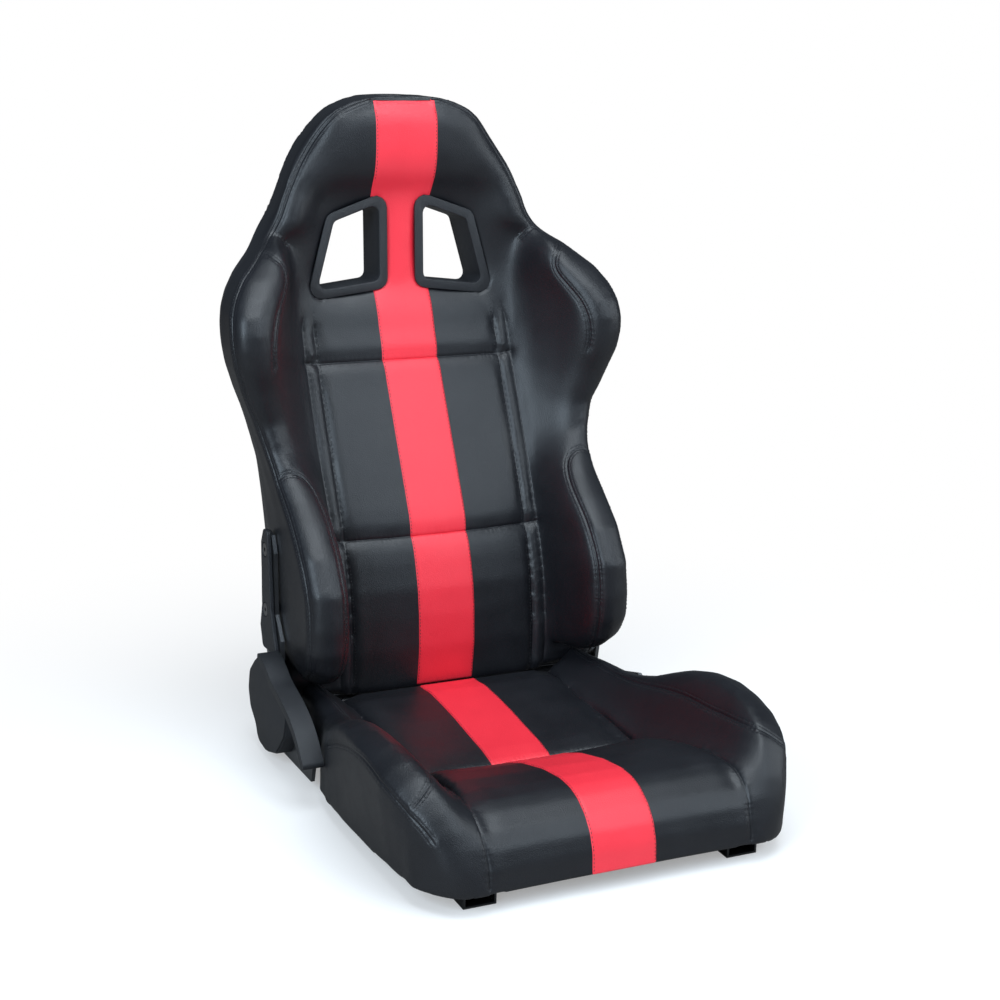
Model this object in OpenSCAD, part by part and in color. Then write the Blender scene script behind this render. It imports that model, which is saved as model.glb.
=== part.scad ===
// Reclining sport seat: padded back and base on sliding floor rails.
// +Z is up, the sitter faces -Y, and the origin is the centre of the floor bolts at floor level.

/* [Backrest heights] */
// Height of the fold between the base cushion and the backrest
crease_z = 68; // [62:1:74]
// Height of the underside of the lower side bolsters
bolster_low_z = 100; // [96:1:110]
// Height of the middle of the lower side bolsters
lumbar_z = 184; // [170:1:200]
// Height of the lower sewn channel of the back insert
channel_low_z = 266; // [250:1:285]
// Height of the waist between lower bolsters and shoulder wings
waist_z = 385; // [375:1:400]
// Height of the top of the headrest
top_z = 831; // [820:1:850]
// Drop from the top to where the sides of the headrest start to curve in
crown_drop = 91; // [83:1:99]
// Drop from the top to the seam between the shoulder wings and the headrest
neck_drop = 176; // [170:1:179]
// Drop from the top to the widest point of the shoulder wings
shoulder_drop = 286; // [276:1:296]
// Drop from the shoulder wings' widest point to the upper sewn channel
channel_drop = 59; // [50:1:70]

/* [Backrest half widths] */
// Half width at the lower side bolsters
lumbar_half = 227; // [224:0.5:232]
// Half width at the waist
waist_half = 233; // [228:0.5:238]
// Half width at the shoulder wings
shoulder_half = 278; // [262:1:290]
// Half width of the headrest at the neck seam
neck_half = 197; // [192:1:202]
// Half width of the headrest where it starts to curve in
crown_half = 155; // [148:1:162]
// Half width of the back insert with its piping
insert_half = 150; // [144:1:156]
// Half width of the centre stripe
stripe_half = 42; // [30:1:50]
// Inner edge of the lower bolster's front face
lumbar_face = 173; // [168:1:180]
// Inner edge of the shoulder wing's front face
wing_face = 222; // [212:1:230]

/* [Backrest depths] */
// Front of the insert at the crease
crease_y = 243; // [238:1:248]
// Front of the insert at its lumbar bulge
lumbar_y = 238; // [232:1:242]
// Front of the insert at the lower channel
channel_low_y = 268; // [262:1:274]
// Front of the insert at the upper channel
channel_high_y = 378; // [372:1:384]
// Front of the pad at the foot of the belt slots
slot_y = 407; // [402:1:412]
// Front of the headrest where the head rests
head_y = 400; // [394:1:406]
// How far the lower bolsters reach in front of the insert
lumbar_reach = 102; // [80:1:110]
// How far the shoulder wings reach in front of the insert
wing_reach = 122; // [95:1:130]
// Lean of the frame below the shoulders, in degrees from upright
frame_lean = 16.2; // [14:0.1:18]
// Lean of the frame behind the head, in degrees from upright
head_lean = 3.3; // [2:0.1:5]
// Thickness of the rear panel
panel_t = 9; // [6:0.5:12]
// Gap between sewn pads
seam_gap = 0.5; // [0.3:0.1:0.8]

/* [Belt slots] */
// Half distance between the two slot frames
slot_in = 20; // [18:1:26]
// Outer corner of a slot frame at its foot
slot_out_low = 138; // [128:1:142]
// Outer corner of a slot frame at its top
slot_out_high = 106; // [98:1:112]
// Drop from the top of the headrest to a slot frame's inner top corner
slot_drop = 125; // [119:1:135]
// Height of a slot frame along its inner edge
slot_height = 131; // [126:1:135]
// Drop of the outer foot corner below the inner one
slot_foot_drop = 14; // [8:1:15]
// Drop of the outer top corner below the inner one
slot_head_drop = 30; // [20:1:36]
// Width of the slot frame's flange
slot_flange = 12; // [10:0.5:14]
// Wall of the slot frame's tunnel
slot_wall = 3; // [2:0.5:4]

/* [Base] */
// Front face of the base at the centre
base_front_y = -272; // [-280:1:-262]
// Depth of the flat cushion from its front seam to the crease
cushion_len = 244; // [238:1:246]
// Half width of the flat cushion
cushion_half = 146; // [142:1:147]
// Height of the flat cushion at its front seam
cushion_front_z = 44; // [42:0.5:48]
// Height of the flat cushion at the crease
cushion_rear_z = 64; // [58:1:66]
// Height of the crest of the thigh roll
roll_z = 104; // [96:1:110]
// Height of the crest of the base bolsters
side_z = 156; // [146:1:162]
// Half width of the base across its bolsters
base_half = 258; // [252:1:264]
// Half width of the base across its skirt
skirt_half = 250; // [247:1:253]
// Height of the skirt's lower edge at the front
skirt_z = 22.5; // [22.5:0.5:26]

/* [Recliner] */
// Distance of the backrest pivot behind the floor bolts' centre
pivot_y = 270; // [266:1:274]
// Height of the backrest pivot above the floor
pivot_z = 92; // [89:1:95]
// Thickness of the recliner plates
plate_t = 5; // [4:0.5:6]
// Radius of the padded rolls around the recliner shaft
foot_roll_r = 30; // [26:1:30]
// Radius of the hub of a recliner arm
hub_r = 24; // [22:0.5:26]
// Radius of the pivot boss
boss_r = 14; // [12:0.5:16]
// Radius of the shaft that joins both recliners
shaft_r = 6; // [5:0.5:7]
// Width of the release handle
handle_w = 27; // [20:1:30]
// Thickness of the release handle
handle_t = 11; // [9:1:13]
// Radius of the screws that hold the recliners
screw_r = 5; // [4:0.5:5.5]

/* [Frame] */
// Outer radius of the backrest tubes
tube_r = 11; // [9:0.5:11]
// Outer radius of the headrest hoop
hoop_r = 10; // [8:0.5:10]
// Distance from the sides of the lower bolsters in to the upright tubes
upright_in = 39; // [38:1:43]
// Radius of the support wires behind the insert
wire_r = 2; // [1.5:0.25:3]
// Radius of the rear cross tube of the base
rear_tube_r = 11; // [9:0.5:12]

/* [Rails] */
// Half distance between the two floor rails
rail_x = 168; // [167:0.5:169]
// Length of a floor rail
rail_len = 440; // [420:5:450]
// Length of a seat rail
runner_len = 320; // [300:5:330]
// Width of a floor rail
rail_w = 40; // [38:0.5:40]
// Height of a floor rail
rail_h = 22; // [20:0.5:22]
// Sheet thickness of the rails
rail_t = 2.5; // [2:0.25:3]
// Height of the seat rail's top above the floor
runner_z = 36; // [34:0.5:38]
// Distance between the floor bolts, front to rear
bolt_span = 330; // [300:5:350]
// Radius of the floor bolt holes
bolt_hole_r = 4.5; // [4:0.25:5.5]

/* [Hidden] */

$fn = 32;
eps = 0.01;
clear = 0.3;

// ---- curves through stations, and closed pads between two grids of points ----

function mix(a, b, t) = a + (b - a) * t;
function rise(tab, i, k) = (tab[i + 1][k] - tab[i][k]) / (tab[i + 1][0] - tab[i][0]);
function tangent(tab, i, k) =
    i == 0 ? rise(tab, 0, k)
    : i == len(tab) - 1 ? rise(tab, i - 1, k)
    : let (a = rise(tab, i - 1, k), b = rise(tab, i, k)) a * b <= 0 ? 0 : 2 * a * b / (a + b);
function span_of(tab, t, i = 0) =
    i >= len(tab) - 2 || t < tab[i + 1][0] ? i : span_of(tab, t, i + 1);
// Smooth value of column k of a table of stations, at station t
function smooth(tab, t, k) =
    let (i = span_of(tab, t), w = tab[i + 1][0] - tab[i][0], u = (t - tab[i][0]) / w)
    t <= tab[0][0] ? tab[0][k]
    : t >= tab[len(tab) - 1][0] ? tab[len(tab) - 1][k]
    : (2 * u ^ 3 - 3 * u ^ 2 + 1) * tab[i][k] + (u ^ 3 - 2 * u ^ 2 + u) * w * tangent(tab, i, k)
        + (3 * u ^ 2 - 2 * u ^ 3) * tab[i + 1][k] + (u ^ 3 - u ^ 2) * w * tangent(tab, i + 1, k);
// 0 below a, 1 above b, with a soft step between
function step_up(t, a, b) =
    let (u = min(1, max(0, (t - a) / (b - a)))) u * u * (3 - 2 * u);
// A sewn valley of the given depth and half width at t = 0
function valley(t, half, depth) = abs(t) >= half ? 0 : depth * (1 + cos(180 * t / half)) / 2;
function bezier(a, b, c, d, t) =
    (1 - t) ^ 3 * a + 3 * (1 - t) ^ 2 * t * b + 3 * (1 - t) * t ^ 2 * c + t ^ 3 * d;

// Closed solid between an outer grid of points and an inner one of the same size
module pad(outer, inner) {
    rows = len(outer);
    cols = len(outer[0]);
    n = rows * cols;
    points = [for (r = outer) for (p = r) p, for (r = inner) for (p = r) p];
    edge = [for (c = [0:cols - 2]) c,
        for (r = [0:rows - 2]) r * cols + cols - 1,
        for (c = [cols - 1:-1:1]) (rows - 1) * cols + c,
        for (r = [rows - 1:-1:1]) r * cols];
    faces = [
        for (r = [0:rows - 2]) for (c = [0:cols - 2]) let (a = r * cols + c)
            each [[a, a + cols + 1, a + 1], [a, a + cols, a + cols + 1]],
        for (r = [0:rows - 2]) for (c = [0:cols - 2]) let (a = n + r * cols + c)
            each [[a, a + 1, a + cols + 1], [a, a + cols + 1, a + cols]],
        for (i = [0:len(edge) - 1]) let (a = edge[i], b = edge[(i + 1) % len(edge)])
            each [[a, n + b, n + a], [a, b, n + b]]];
    polyhedron(points, faces);
}
// Rows that hold a half section and its mirror image
function both_sides(row) =
    concat([for (i = [len(row) - 1:-1:1]) [-row[i].x, row[i].y, row[i].z]], row);

// ---- backrest: named surfaces ----

crown_z = top_z - crown_drop;
neck_z = top_z - neck_drop;
shoulder_z = top_z - shoulder_drop;
channel_high_z = shoulder_z - channel_drop;
slot_head_z = top_z - slot_drop;
slot_foot_z = slot_head_z - slot_height;
upright_x = lumbar_half - upright_in;
// Inner faces of the recliner arms and of the recliner plates outside them
arm_in = lumbar_half + 1;
plate_in = arm_in + plate_t + 1.5;
frame_foot_z = 100;
frame_foot_y = 315;
frame_bend_z = shoulder_z;
frame_bend_y = frame_foot_y + (frame_bend_z - frame_foot_z) * tan(frame_lean);
// Centre line of the frame tubes, seen from the side
function frame_y(z) = z < frame_bend_z ? frame_bend_y + (z - frame_bend_z) * tan(frame_lean)
    : frame_bend_y + (z - frame_bend_z) * tan(head_lean);
foam_gap = 2;
// Back of the front pads, and the inner face of the rear panel
function foam_y(z) = frame_y(z) - tube_r - foam_gap;
function rear_y(z) = frame_y(z) + tube_r + foam_gap + 4;

centre_line = [
    [crease_z, crease_y],
    [crease_z + 60, lumbar_y - 1],
    [lumbar_z, lumbar_y + 4],
    [channel_low_z, channel_low_y],
    [mix(channel_low_z, channel_high_z, 0.45), mix(channel_low_y, channel_high_y, 0.45)],
    [channel_high_z, channel_high_y],
    [slot_foot_z - 5, slot_y],
    [slot_head_z + 12, slot_y],
    [crown_z + 12, head_y],
    [top_z - 30, head_y + 2],
    [top_z, head_y + 14]];
function centre_y(z) = smooth(centre_line, z, 1);
// Front of the insert at its side edge, a little behind its centre
function edge_y(z) = centre_y(z) + 2 + 9 * (1 - step_up(z, channel_low_z, channel_high_z))
    * step_up(z, crease_z, lumbar_z);

// Height, half width, rim depth, inner edge of the front face, crest depth
wing_y = channel_high_y + 27 - wing_reach;
low_y = lumbar_y - lumbar_reach;
side_line = [
    [bolster_low_z, lumbar_half - 13, low_y + 80, lumbar_face + 10, low_y + 70],
    [bolster_low_z + 9, lumbar_half - 8, low_y + 50, lumbar_face + 4, low_y + 44],
    [bolster_low_z + 30, lumbar_half - 3, low_y + 22, lumbar_face + 1, low_y + 16],
    [lumbar_z - 24, lumbar_half, low_y + 11, lumbar_face, low_y + 4],
    [lumbar_z + 6, lumbar_half, low_y + 10, lumbar_face, low_y + 2],
    [lumbar_z + 50, lumbar_half, low_y + 18, lumbar_face, low_y + 7],
    [channel_low_z + 12, lumbar_half, low_y + 46, lumbar_face, low_y + 35],
    [waist_z - 67, waist_half - 7, low_y + 90, lumbar_face + 1, low_y + 80],
    [waist_z - 33, waist_half - 6, low_y + 132, lumbar_face + 12, low_y + 123],
    [waist_z, waist_half, wing_y + 10, lumbar_face + 27, wing_y + 3],
    [mix(waist_z, shoulder_z, 0.3), waist_half + 14, wing_y + 24, wing_face - 12, wing_y + 15],
    [mix(waist_z, shoulder_z, 0.71), shoulder_half - 5, wing_y + 8, wing_face, wing_y - 2],
    [mix(waist_z, shoulder_z, 0.925), shoulder_half, wing_y + 7, wing_face + 1, wing_y - 5],
    [shoulder_z + 21, shoulder_half - 2, wing_y + 17, wing_face - 4, wing_y + 4],
    [shoulder_z + 54, shoulder_half - 18, wing_y + 38, wing_face - 25, wing_y + 30],
    [shoulder_z + 83, mix(shoulder_half, neck_half, 0.6), wing_y + 66, wing_face - 38, wing_y + 61],
    [neck_z - 10, neck_half + 8, wing_y + 94, wing_face - 38, wing_y + 88],
    [neck_z, neck_half, wing_y + 106, wing_face - 35, wing_y + 102]];
function side(z, k) = smooth(side_line, z, k);

// Inner edge of the side bolsters: beside the insert, then out to the neck seam
side_in_line = [
    [slot_foot_z - 20, insert_half],
    [slot_foot_z + 25, insert_half + 7],
    [neck_z - 14, insert_half + 17],
    [neck_z, neck_half - 12]];
function side_in(z) = smooth(side_in_line, z, 1);

// Half width of the rear edge of the padded sides
panel_line = [
    [bolster_low_z, lumbar_half - 20],
    [shoulder_z - 15, lumbar_half - 20],
    [shoulder_z + 30, lumbar_half - 32],
    [shoulder_z + 60, lumbar_half - 42],
    [shoulder_z + 85, lumbar_half - 45],
    [neck_z, neck_half - 8],
    [crown_z, crown_half - 6]];
function gusset_x(z) = smooth(panel_line, z, 1);

// Height, half width and depth of the headrest's rim
head_line = [
    [neck_z + 1, neck_half, slot_y - 15],
    [mix(neck_z, crown_z, 0.35), mix(neck_half, crown_half, 0.43), slot_y - 10],
    [mix(neck_z, crown_z, 0.7), mix(neck_half, crown_half, 0.74), slot_y - 6],
    [crown_z, crown_half, head_y + 4],
    [mix(crown_z, top_z, 0.2), crown_half * 0.945, head_y + 7],
    [mix(crown_z, top_z, 0.38), crown_half * 0.87, head_y + 10],
    [mix(crown_z, top_z, 0.54), crown_half * 0.793, head_y + 10],
    [mix(crown_z, top_z, 0.68), crown_half * 0.71, head_y + 8],
    [mix(crown_z, top_z, 0.8), crown_half * 0.62, head_y + 6],
    [mix(crown_z, top_z, 0.9), crown_half * 0.49, head_y + 3],
    [mix(crown_z, top_z, 0.965), crown_half * 0.36, head_y + 3],
    [top_z - 0.4, crown_half * 0.14, head_y + 8]];
function head_half(z) = z < neck_z + 0.8 ? side_in(min(z, neck_z)) - seam_gap : smooth(head_line, z, 1);
function head_rim_y(z) = z < neck_z + 0.8 ? edge_y(z) : smooth(head_line, z, 2);

// ---- backrest: soft pieces ----

insert_foot_y = pivot_y - shaft_r - 6;
// Front of the insert with its crown, channels and side piping
function insert_y(x, z) =
    let (e = insert_half - abs(x), piping = 9)
    mix(centre_y(z), edge_y(z), (x / insert_half) ^ 2)
    + valley(z - channel_low_z, 9, 7) + valley(z - channel_high_z, 9, 7)
    + valley(e - 2 * piping, 6, 5) - valley(e - piping, 8, 5) + valley(e, 6, 3);
insert_foot_z = crease_z - 11;
insert_z = [insert_foot_z, crease_z + 2, crease_z + 18, crease_z + 50, lumbar_z - 22, lumbar_z + 14,
    channel_low_z - 32, channel_low_z - 8, channel_low_z - 3, channel_low_z, channel_low_z + 3,
    channel_low_z + 8, channel_low_z + 34, mix(channel_low_z, channel_high_z, 0.5),
    channel_high_z - 34, channel_high_z - 8, channel_high_z - 3, channel_high_z,
    channel_high_z + 3, channel_high_z + 8, channel_high_z + 36, slot_foot_z - 20];
insert_x = [0, stripe_half, insert_half * 0.66, insert_half - 25, insert_half - 18,
    insert_half - 9, insert_half];
// Back of the insert: thin at the foot, where the recliner shaft passes
function insert_back(z) = mix(insert_foot_y, foam_y(z), step_up(z, pivot_z + 40, pivot_z + 75));
function insert_row(z) = both_sides([for (x = insert_x)
    [x, insert_y(x, z) + (z == insert_foot_z ? 3 : 0), z]]);
function insert_back_row(z) = both_sides([for (x = insert_x)
    [x * (insert_half - 1) / insert_half, insert_back(z), z + (z == insert_foot_z ? 7 : 0)]]);
module back_insert()
    color("#18191b")
    pad([for (z = insert_z) insert_row(z)], [for (z = insert_z) insert_back_row(z)]);

// Thin red panel that follows the insert, standing off it by a hair
stripe_t = 1.4;
stripe_x = [0, 1];
function stripe_row(z, off) = both_sides([for (k = stripe_x) let (x = k * stripe_half)
    [x, insert_y(x, z) - off, z]]);
stripe_z = [for (z = insert_z) if (z > insert_foot_z) z];
module back_stripe()
    color("#d8232c")
    pad([for (z = stripe_z) stripe_row(z, clear + stripe_t)],
        [for (z = stripe_z) stripe_row(z, clear)]);

// Section of a side bolster: inner wall, crowned front face, rim, then the side to the rear edge
side_z_list = [bolster_low_z, bolster_low_z + 5, bolster_low_z + 14, bolster_low_z + 30,
    lumbar_z - 24, lumbar_z + 10, mix(lumbar_z, channel_low_z, 0.65), channel_low_z + 14,
    waist_z - 72, waist_z - 48, waist_z - 22,
    each [for (t = [0.025, 0.25, 0.525, 0.725, 0.875, 1]) mix(waist_z, shoulder_z, t)],
    shoulder_z + 20, shoulder_z + 40, shoulder_z + 62, shoulder_z + 85, neck_z];
// The foot slopes up towards the rear and towards the outside
function foot_lift(p, z) = (1 - step_up(z, bolster_low_z, bolster_low_z + 70))
    * (14 * step_up(p.y, 200, 330) + 10 * step_up(p.x, lumbar_face + 20, lumbar_half - 8));
function gusset(z, t) =
    let (w = side(z, 1), a = side(z, 2), b = rear_y(z), g = gusset_x(z))
    [bezier(w, w + 3, mix(g, w, 0.8), g, t), bezier(a, mix(a, b, 0.4), mix(a, b, 0.86), b, t)];
function side_row(z) =
    let (x0 = side_in(z), y0 = edge_y(z), w = side(z, 1), xc = side(z, 3), yc = side(z, 4),
        yr = side(z, 2), d = w - xc,
        flat = [[x0 + seam_gap, y0], [mix(x0, xc, 0.3), mix(y0, yc, 0.22)],
            [mix(x0, xc, 0.62), mix(y0, yc, 0.58)], [mix(x0, xc, 0.88), mix(y0, yc, 0.88)],
            [xc + 0.14 * d, yc + 0.5], [xc + 0.46 * d, yc - 4], [xc + 0.8 * d, yc - 1],
            [w, yr], gusset(z, 0.28), gusset(z, 0.55), gusset(z, 0.78), gusset(z, 1)])
    [for (p = flat) [p.x, p.y, z + foot_lift(p, z)]];
function side_back_row(z) =
    let (x0 = side_in(z) + seam_gap, x1 = gusset_x(z) - 6, y0 = foam_y(z), y1 = rear_y(z),
        flat = [for (t = [0, 0.14, 0.28, 0.42, 0.56, 0.7, 0.85, 1]) [mix(x0, x1, t), y0],
            for (t = [0.25, 0.5, 0.75, 1]) [x1, mix(y0, y1, t)]])
    [for (p = flat) [p.x, p.y, z + foot_lift(p, z) + (z == bolster_low_z ? 2 : 0)]];
module side_pad()
    pad([for (z = side_z_list) side_row(z)], [for (z = side_z_list) side_back_row(z)]);
// Side bolster with screw holes and a pocket for the frame's side plate
module drilled_side_pad() difference() {
    side_pad();
    foot_roll_bar(foot_roll_r + seam_gap, insert_half - 10, cam_in + 10);
    translate([lug_x - 1, lug_y - 19, lug_z[0] - 28]) cube([plate_t + 3, 100, lug_z[1] - lug_z[0] + 56]);
    arm_screw_places() turn_x() cylinder(r = screw_r + 1, h = 60, center = true, $fn = 12);
}
module back_bolster_right() color("#141517") drilled_side_pad();
module back_bolster_left() color("#141517") mirror([1, 0, 0]) drilled_side_pad();

// Padded rolls around the recliner shaft, under the side bolsters
module foot_roll_bar(r, from, to)
    translate([from, pivot_y, pivot_z]) turn_x() cylinder(r = r, h = to - from);
module foot_roll_right() color("#141517") difference() {
    foot_roll_bar(foot_roll_r, insert_half + 0.6, cam_in - 1);
    foot_roll_bar(shaft_r + 3, insert_half - 1, cam_in);
}
module foot_roll_left() color("#141517") mirror([1, 0, 0]) foot_roll_right();

// Plane that the slot frames lie in, at height z
function slot_plane(z) = slot_y + 11 + (z - slot_foot_z) * tan(head_lean);
head_z = [slot_foot_z - 19, slot_foot_z - 5, slot_foot_z + 30, neck_z - 14, neck_z + 0.5,
    neck_z + 1, neck_z + 26, slot_head_z - 4, slot_head_z + 10, slot_head_z + 22, crown_z + 6,
    mix(crown_z, top_z, 0.32), mix(crown_z, top_z, 0.52), mix(crown_z, top_z, 0.68),
    mix(crown_z, top_z, 0.81), mix(crown_z, top_z, 0.91), mix(crown_z, top_z, 0.97), top_z - 0.4];
// 1 where the pad is drawn in around the slot frames
function drawn_in(z) = step_up(z, slot_foot_z - 22, slot_foot_z - 4)
    * (1 - step_up(z, slot_head_z - 8, slot_head_z + 26));
// Outer edge of the slot frames at height z
function slot_edge(z) = mix(slot_out_low, slot_out_high,
    min(1, max(0, (z - slot_foot_z) / (slot_head_z - slot_head_drop - slot_foot_z))));
function head_row(z) =
    let (w = head_half(z), yr = head_rim_y(z), yc = centre_y(z), q = drawn_in(z),
        low = z < neck_z + 0.8, back = low ? foam_y(z) : rear_y(z),
        g = low ? w : gusset_edge(z), in = min(slot_edge(z) + 3, w - 9),
        ys = slot_plane(z) + clear,
        flat = [[0, mix(yc, ys, q)], [in * 0.5, mix(mix(yc, yr, 0.1), ys, q)],
            [in, mix(mix(yc, yr, 0.5) - 1, ys - 2, q)], [mix(in, w, 0.6), yr - 3],
            [w, yr], [mix(w, g, 0.25) + (low ? 0 : 1.5), mix(yr, back, 0.34)],
            [mix(w, g, 0.55) + (low ? 0 : 0.5), mix(yr, back, 0.67)], [g, back]])
    both_sides([for (p = flat) [p.x, p.y, z]]);
// Rear edge of the headrest's side, just inside its rim
function gusset_edge(z) = smooth(head_line, z, 1) - 8 + 2 * step_up(z, neck_z, crown_z);
function head_back_row(z) =
    let (w = head_half(z), low = z < neck_z + 0.8, wall = low ? 1.5 : min(14, w * 0.35),
        zb = z - 14 * step_up(z, crown_z - 20, top_z),
        x1 = w - wall, y0 = foam_y(zb), y1 = low ? foam_y(z) : rear_y(zb),
        flat = [[0, y0], [x1 * 0.3, y0], [x1 * 0.6, y0], [x1 * 0.85, y0], [x1, y0],
            each [for (t = [0.33, 0.67, 1]) [x1 + (low ? t : 0), mix(y0, y1, t)]]])
    both_sides([for (p = flat) [p.x, p.y, zb]]);
module headrest_pad() color("#1a1b1d") difference() {
    pad([for (z = head_z) head_row(z)], [for (z = head_z) head_back_row(z)]);
    slot_holes(0.4);
    mirror([1, 0, 0]) slot_holes(0.4);
}
head_stripe_z = [for (z = head_z) if (z < top_z - 2) z];
// The stripe is drawn in to pass between the slot frames
function stripe_in(z) = mix(stripe_half, slot_in - 0.7,
    step_up(z, slot_foot_z - 12, slot_foot_z - 5) * (1 - step_up(z, slot_head_z + 9, slot_head_z + 16)));
function head_stripe_row(z, off) = both_sides([for (k = stripe_x)
    let (w = head_half(z), yr = head_rim_y(z), yc = centre_y(z), in = min(slot_edge(z) + 3, w - 9),
        q = drawn_in(z), x = k * min(stripe_in(z), in * 0.5),
        y = mix(mix(yc, mix(yc, yr, 0.1), x / (in * 0.5)), slot_plane(z) + clear, q))
    [x, y - off, z]]);
module headrest_stripe() color("#d8232c")
    pad([for (z = head_stripe_z) head_stripe_row(z, clear + stripe_t)],
        [for (z = head_stripe_z) head_stripe_row(z, clear)]);

// ---- belt slots ----

slot_corners = [[slot_in, slot_foot_z], [slot_out_low, slot_foot_z - slot_foot_drop],
    [slot_out_high, slot_head_z - slot_head_drop], [slot_in, slot_head_z]];
function unit(v) = v / norm(v);
// Convex outline moved inwards by d
function inset(p, d) = [for (i = [0:len(p) - 1])
    let (n = len(p), a = p[(i + n - 1) % n], b = p[i], c = p[(i + 1) % n],
        u = unit(b - a), v = unit(c - b), s = u.x * v.y - u.y * v.x)
    b + (v - u) * d / s];
// Outline with its corners rounded to radius r
function rounded(p, r) = [for (i = [0:len(p) - 1])
    let (n = len(p), a = p[(i + n - 1) % n], b = p[i], c = p[(i + 1) % n],
        u = unit(b - a), v = unit(c - b), s = u.x * v.y - u.y * v.x, m = b + (v - u) * r / abs(s),
        from = atan2(-u.x * sign(s), u.y * sign(s)), turn = atan2(s, u.x * v.x + u.y * v.y))
    for (k = [0:4]) m + r * [cos(from + turn * k / 4), sin(from + turn * k / 4)]];
// A slab in the slot plane, from depth a to depth b behind the plane
module slot_slab(outline, a, b)
    translate([0, slot_plane(slot_foot_z), slot_foot_z]) rotate([-head_lean, 0, 0])
        translate([0, b, 0]) rotate([90, 0, 0])
            translate([0, -slot_foot_z, 0]) linear_extrude(b - a) polygon(outline);
slot_round = 16;
tunnel_out = inset(slot_corners, slot_flange - slot_wall);
tunnel_in = inset(slot_corners, slot_flange);
slot_depth = (rear_y(slot_foot_z) + panel_t - slot_plane(slot_foot_z)) * cos(head_lean);
tunnel_round = slot_round - 3;
// Room for a slot frame: its tunnel, and its flange in front of the slot plane
module slot_holes(gap) {
    slot_slab(rounded(inset(slot_corners, slot_flange - slot_wall - gap), tunnel_round + gap), -30, 120);
    slot_slab(rounded(inset(slot_corners, -gap), slot_round + gap), -30, gap);
}
module slot_frame() difference() {
    union() {
        slot_slab(rounded(slot_corners, slot_round), -4, 0);
        slot_slab(rounded(tunnel_out, tunnel_round), -2, slot_depth + 0.5);
    }
    slot_slab(rounded(tunnel_in, slot_round - 6), -10, slot_depth + 20);
}
module slot_frame_right() color("#2b2c2e") slot_frame();
module slot_frame_left() color("#2b2c2e") mirror([1, 0, 0]) slot_frame();
// Ring that holds the tunnel's rear end against the rear panel
module slot_ring() difference() {
    slot_slab(rounded(inset(slot_corners, 2), slot_round), slot_depth + 1, slot_depth + 5);
    slot_slab(rounded(tunnel_in, slot_round - 6), slot_depth - 10, slot_depth + 20);
}
module slot_ring_right() color("#2b2c2e") slot_ring();
module slot_ring_left() color("#2b2c2e") mirror([1, 0, 0]) slot_ring();

// ---- rear panel ----

panel_z = [bolster_low_z + 17, lumbar_z + 40, waist_z, shoulder_z - 20, shoulder_z, shoulder_z + 40, neck_z,
    neck_z + 44, crown_z + 6, mix(crown_z, top_z, 0.4), mix(crown_z, top_z, 0.68),
    mix(crown_z, top_z, 0.87), mix(crown_z, top_z, 0.965), top_z - 0.4];
panel_x = [0, 0.33, 0.62, 0.85, 1];
function panel_half(z) = z <= neck_z ? gusset_x(z) : gusset_edge(z);
function panel_row(z, off, crown, shrink) = both_sides([for (k = panel_x)
    [k * (panel_half(z) - shrink), rear_y(z) + off + crown * (1 - k ^ 4), z]]);
module rear_panel() color("#1c1d1f") difference() {
    pad([for (z = panel_z) panel_row(z, seam_gap, 0, 0)],
        [for (z = panel_z) panel_row(z, seam_gap + panel_t * 0.4, panel_t * 0.6 - seam_gap, 2)]);
    slot_holes(0.4);
    mirror([1, 0, 0]) slot_holes(0.4);
}

// ---- backrest: frame ----

// Puts its child at height z on the frame's centre line, at x
module on_frame(x, z) translate([x, frame_y(z), z]) children();
module turn_x() rotate([0, 90, 0]) children();
module turn_y() rotate([90, 0, 0]) children();
upright_foot = 150;
upright_top = shoulder_z - 12;
lug_z = [180, 262];
lug_y = 288;
lug_x = upright_x + 7;
module arm_screw_places() for (z = lug_z) translate([lug_x + 10, lug_y, z]) children();
module upright(x)
    on_frame(x, upright_foot) rotate([-frame_lean, 0, 0])
        cylinder(r = tube_r, h = (upright_top - upright_foot) / cos(frame_lean));
module cross_tube(z) on_frame(0, z) turn_x() cylinder(r = tube_r, h = 2 * upright_x, center = true);
// Side plate that the recliner arm screws into
module lug() difference() {
    translate([lug_x, 0, 0]) rotate([90, 0, 90]) linear_extrude(plate_t)
        polygon([[lug_y - 18, lug_z[0] - 22], [lug_y + 20, lug_z[0] - 26],
            [frame_y(lug_z[0] - 20), lug_z[0] - 20], [frame_y(lug_z[1] + 24), lug_z[1] + 24],
            [lug_y + 10, lug_z[1] + 26], [lug_y - 16, lug_z[1] + 18]]);
    arm_screw_places() turn_x() cylinder(r = screw_r + 0.05, h = 60, center = true);
}
hoop_x = 146;
hoop_foot = upright_top - 12;
hoop_spring = top_z - 46 - hoop_x;
// Hoop behind the headrest: two legs and a half ring
hoop_foot_y = frame_bend_y - (frame_bend_z - hoop_foot) * tan(head_lean);
module hoop() translate([0, hoop_foot_y, hoop_foot]) rotate([-head_lean, 0, 0]) {
    for (s = [-1, 1]) translate([s * hoop_x, 0, 0]) cylinder(r = hoop_r, h = hoop_spring - hoop_foot);
    translate([0, 0, hoop_spring - hoop_foot]) rotate([90, 0, 0])
        rotate_extrude(angle = 180) translate([hoop_x, 0]) circle(r = hoop_r);
}
module back_frame() color("#3a3c3f") {
    upright(upright_x);
    upright(-upright_x);
    for (z = [upright_foot + 12, mix(upright_foot, upright_top, 0.5), upright_top - 12]) cross_tube(z);
    hoop();
    lug();
    mirror([1, 0, 0]) lug();
}

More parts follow.
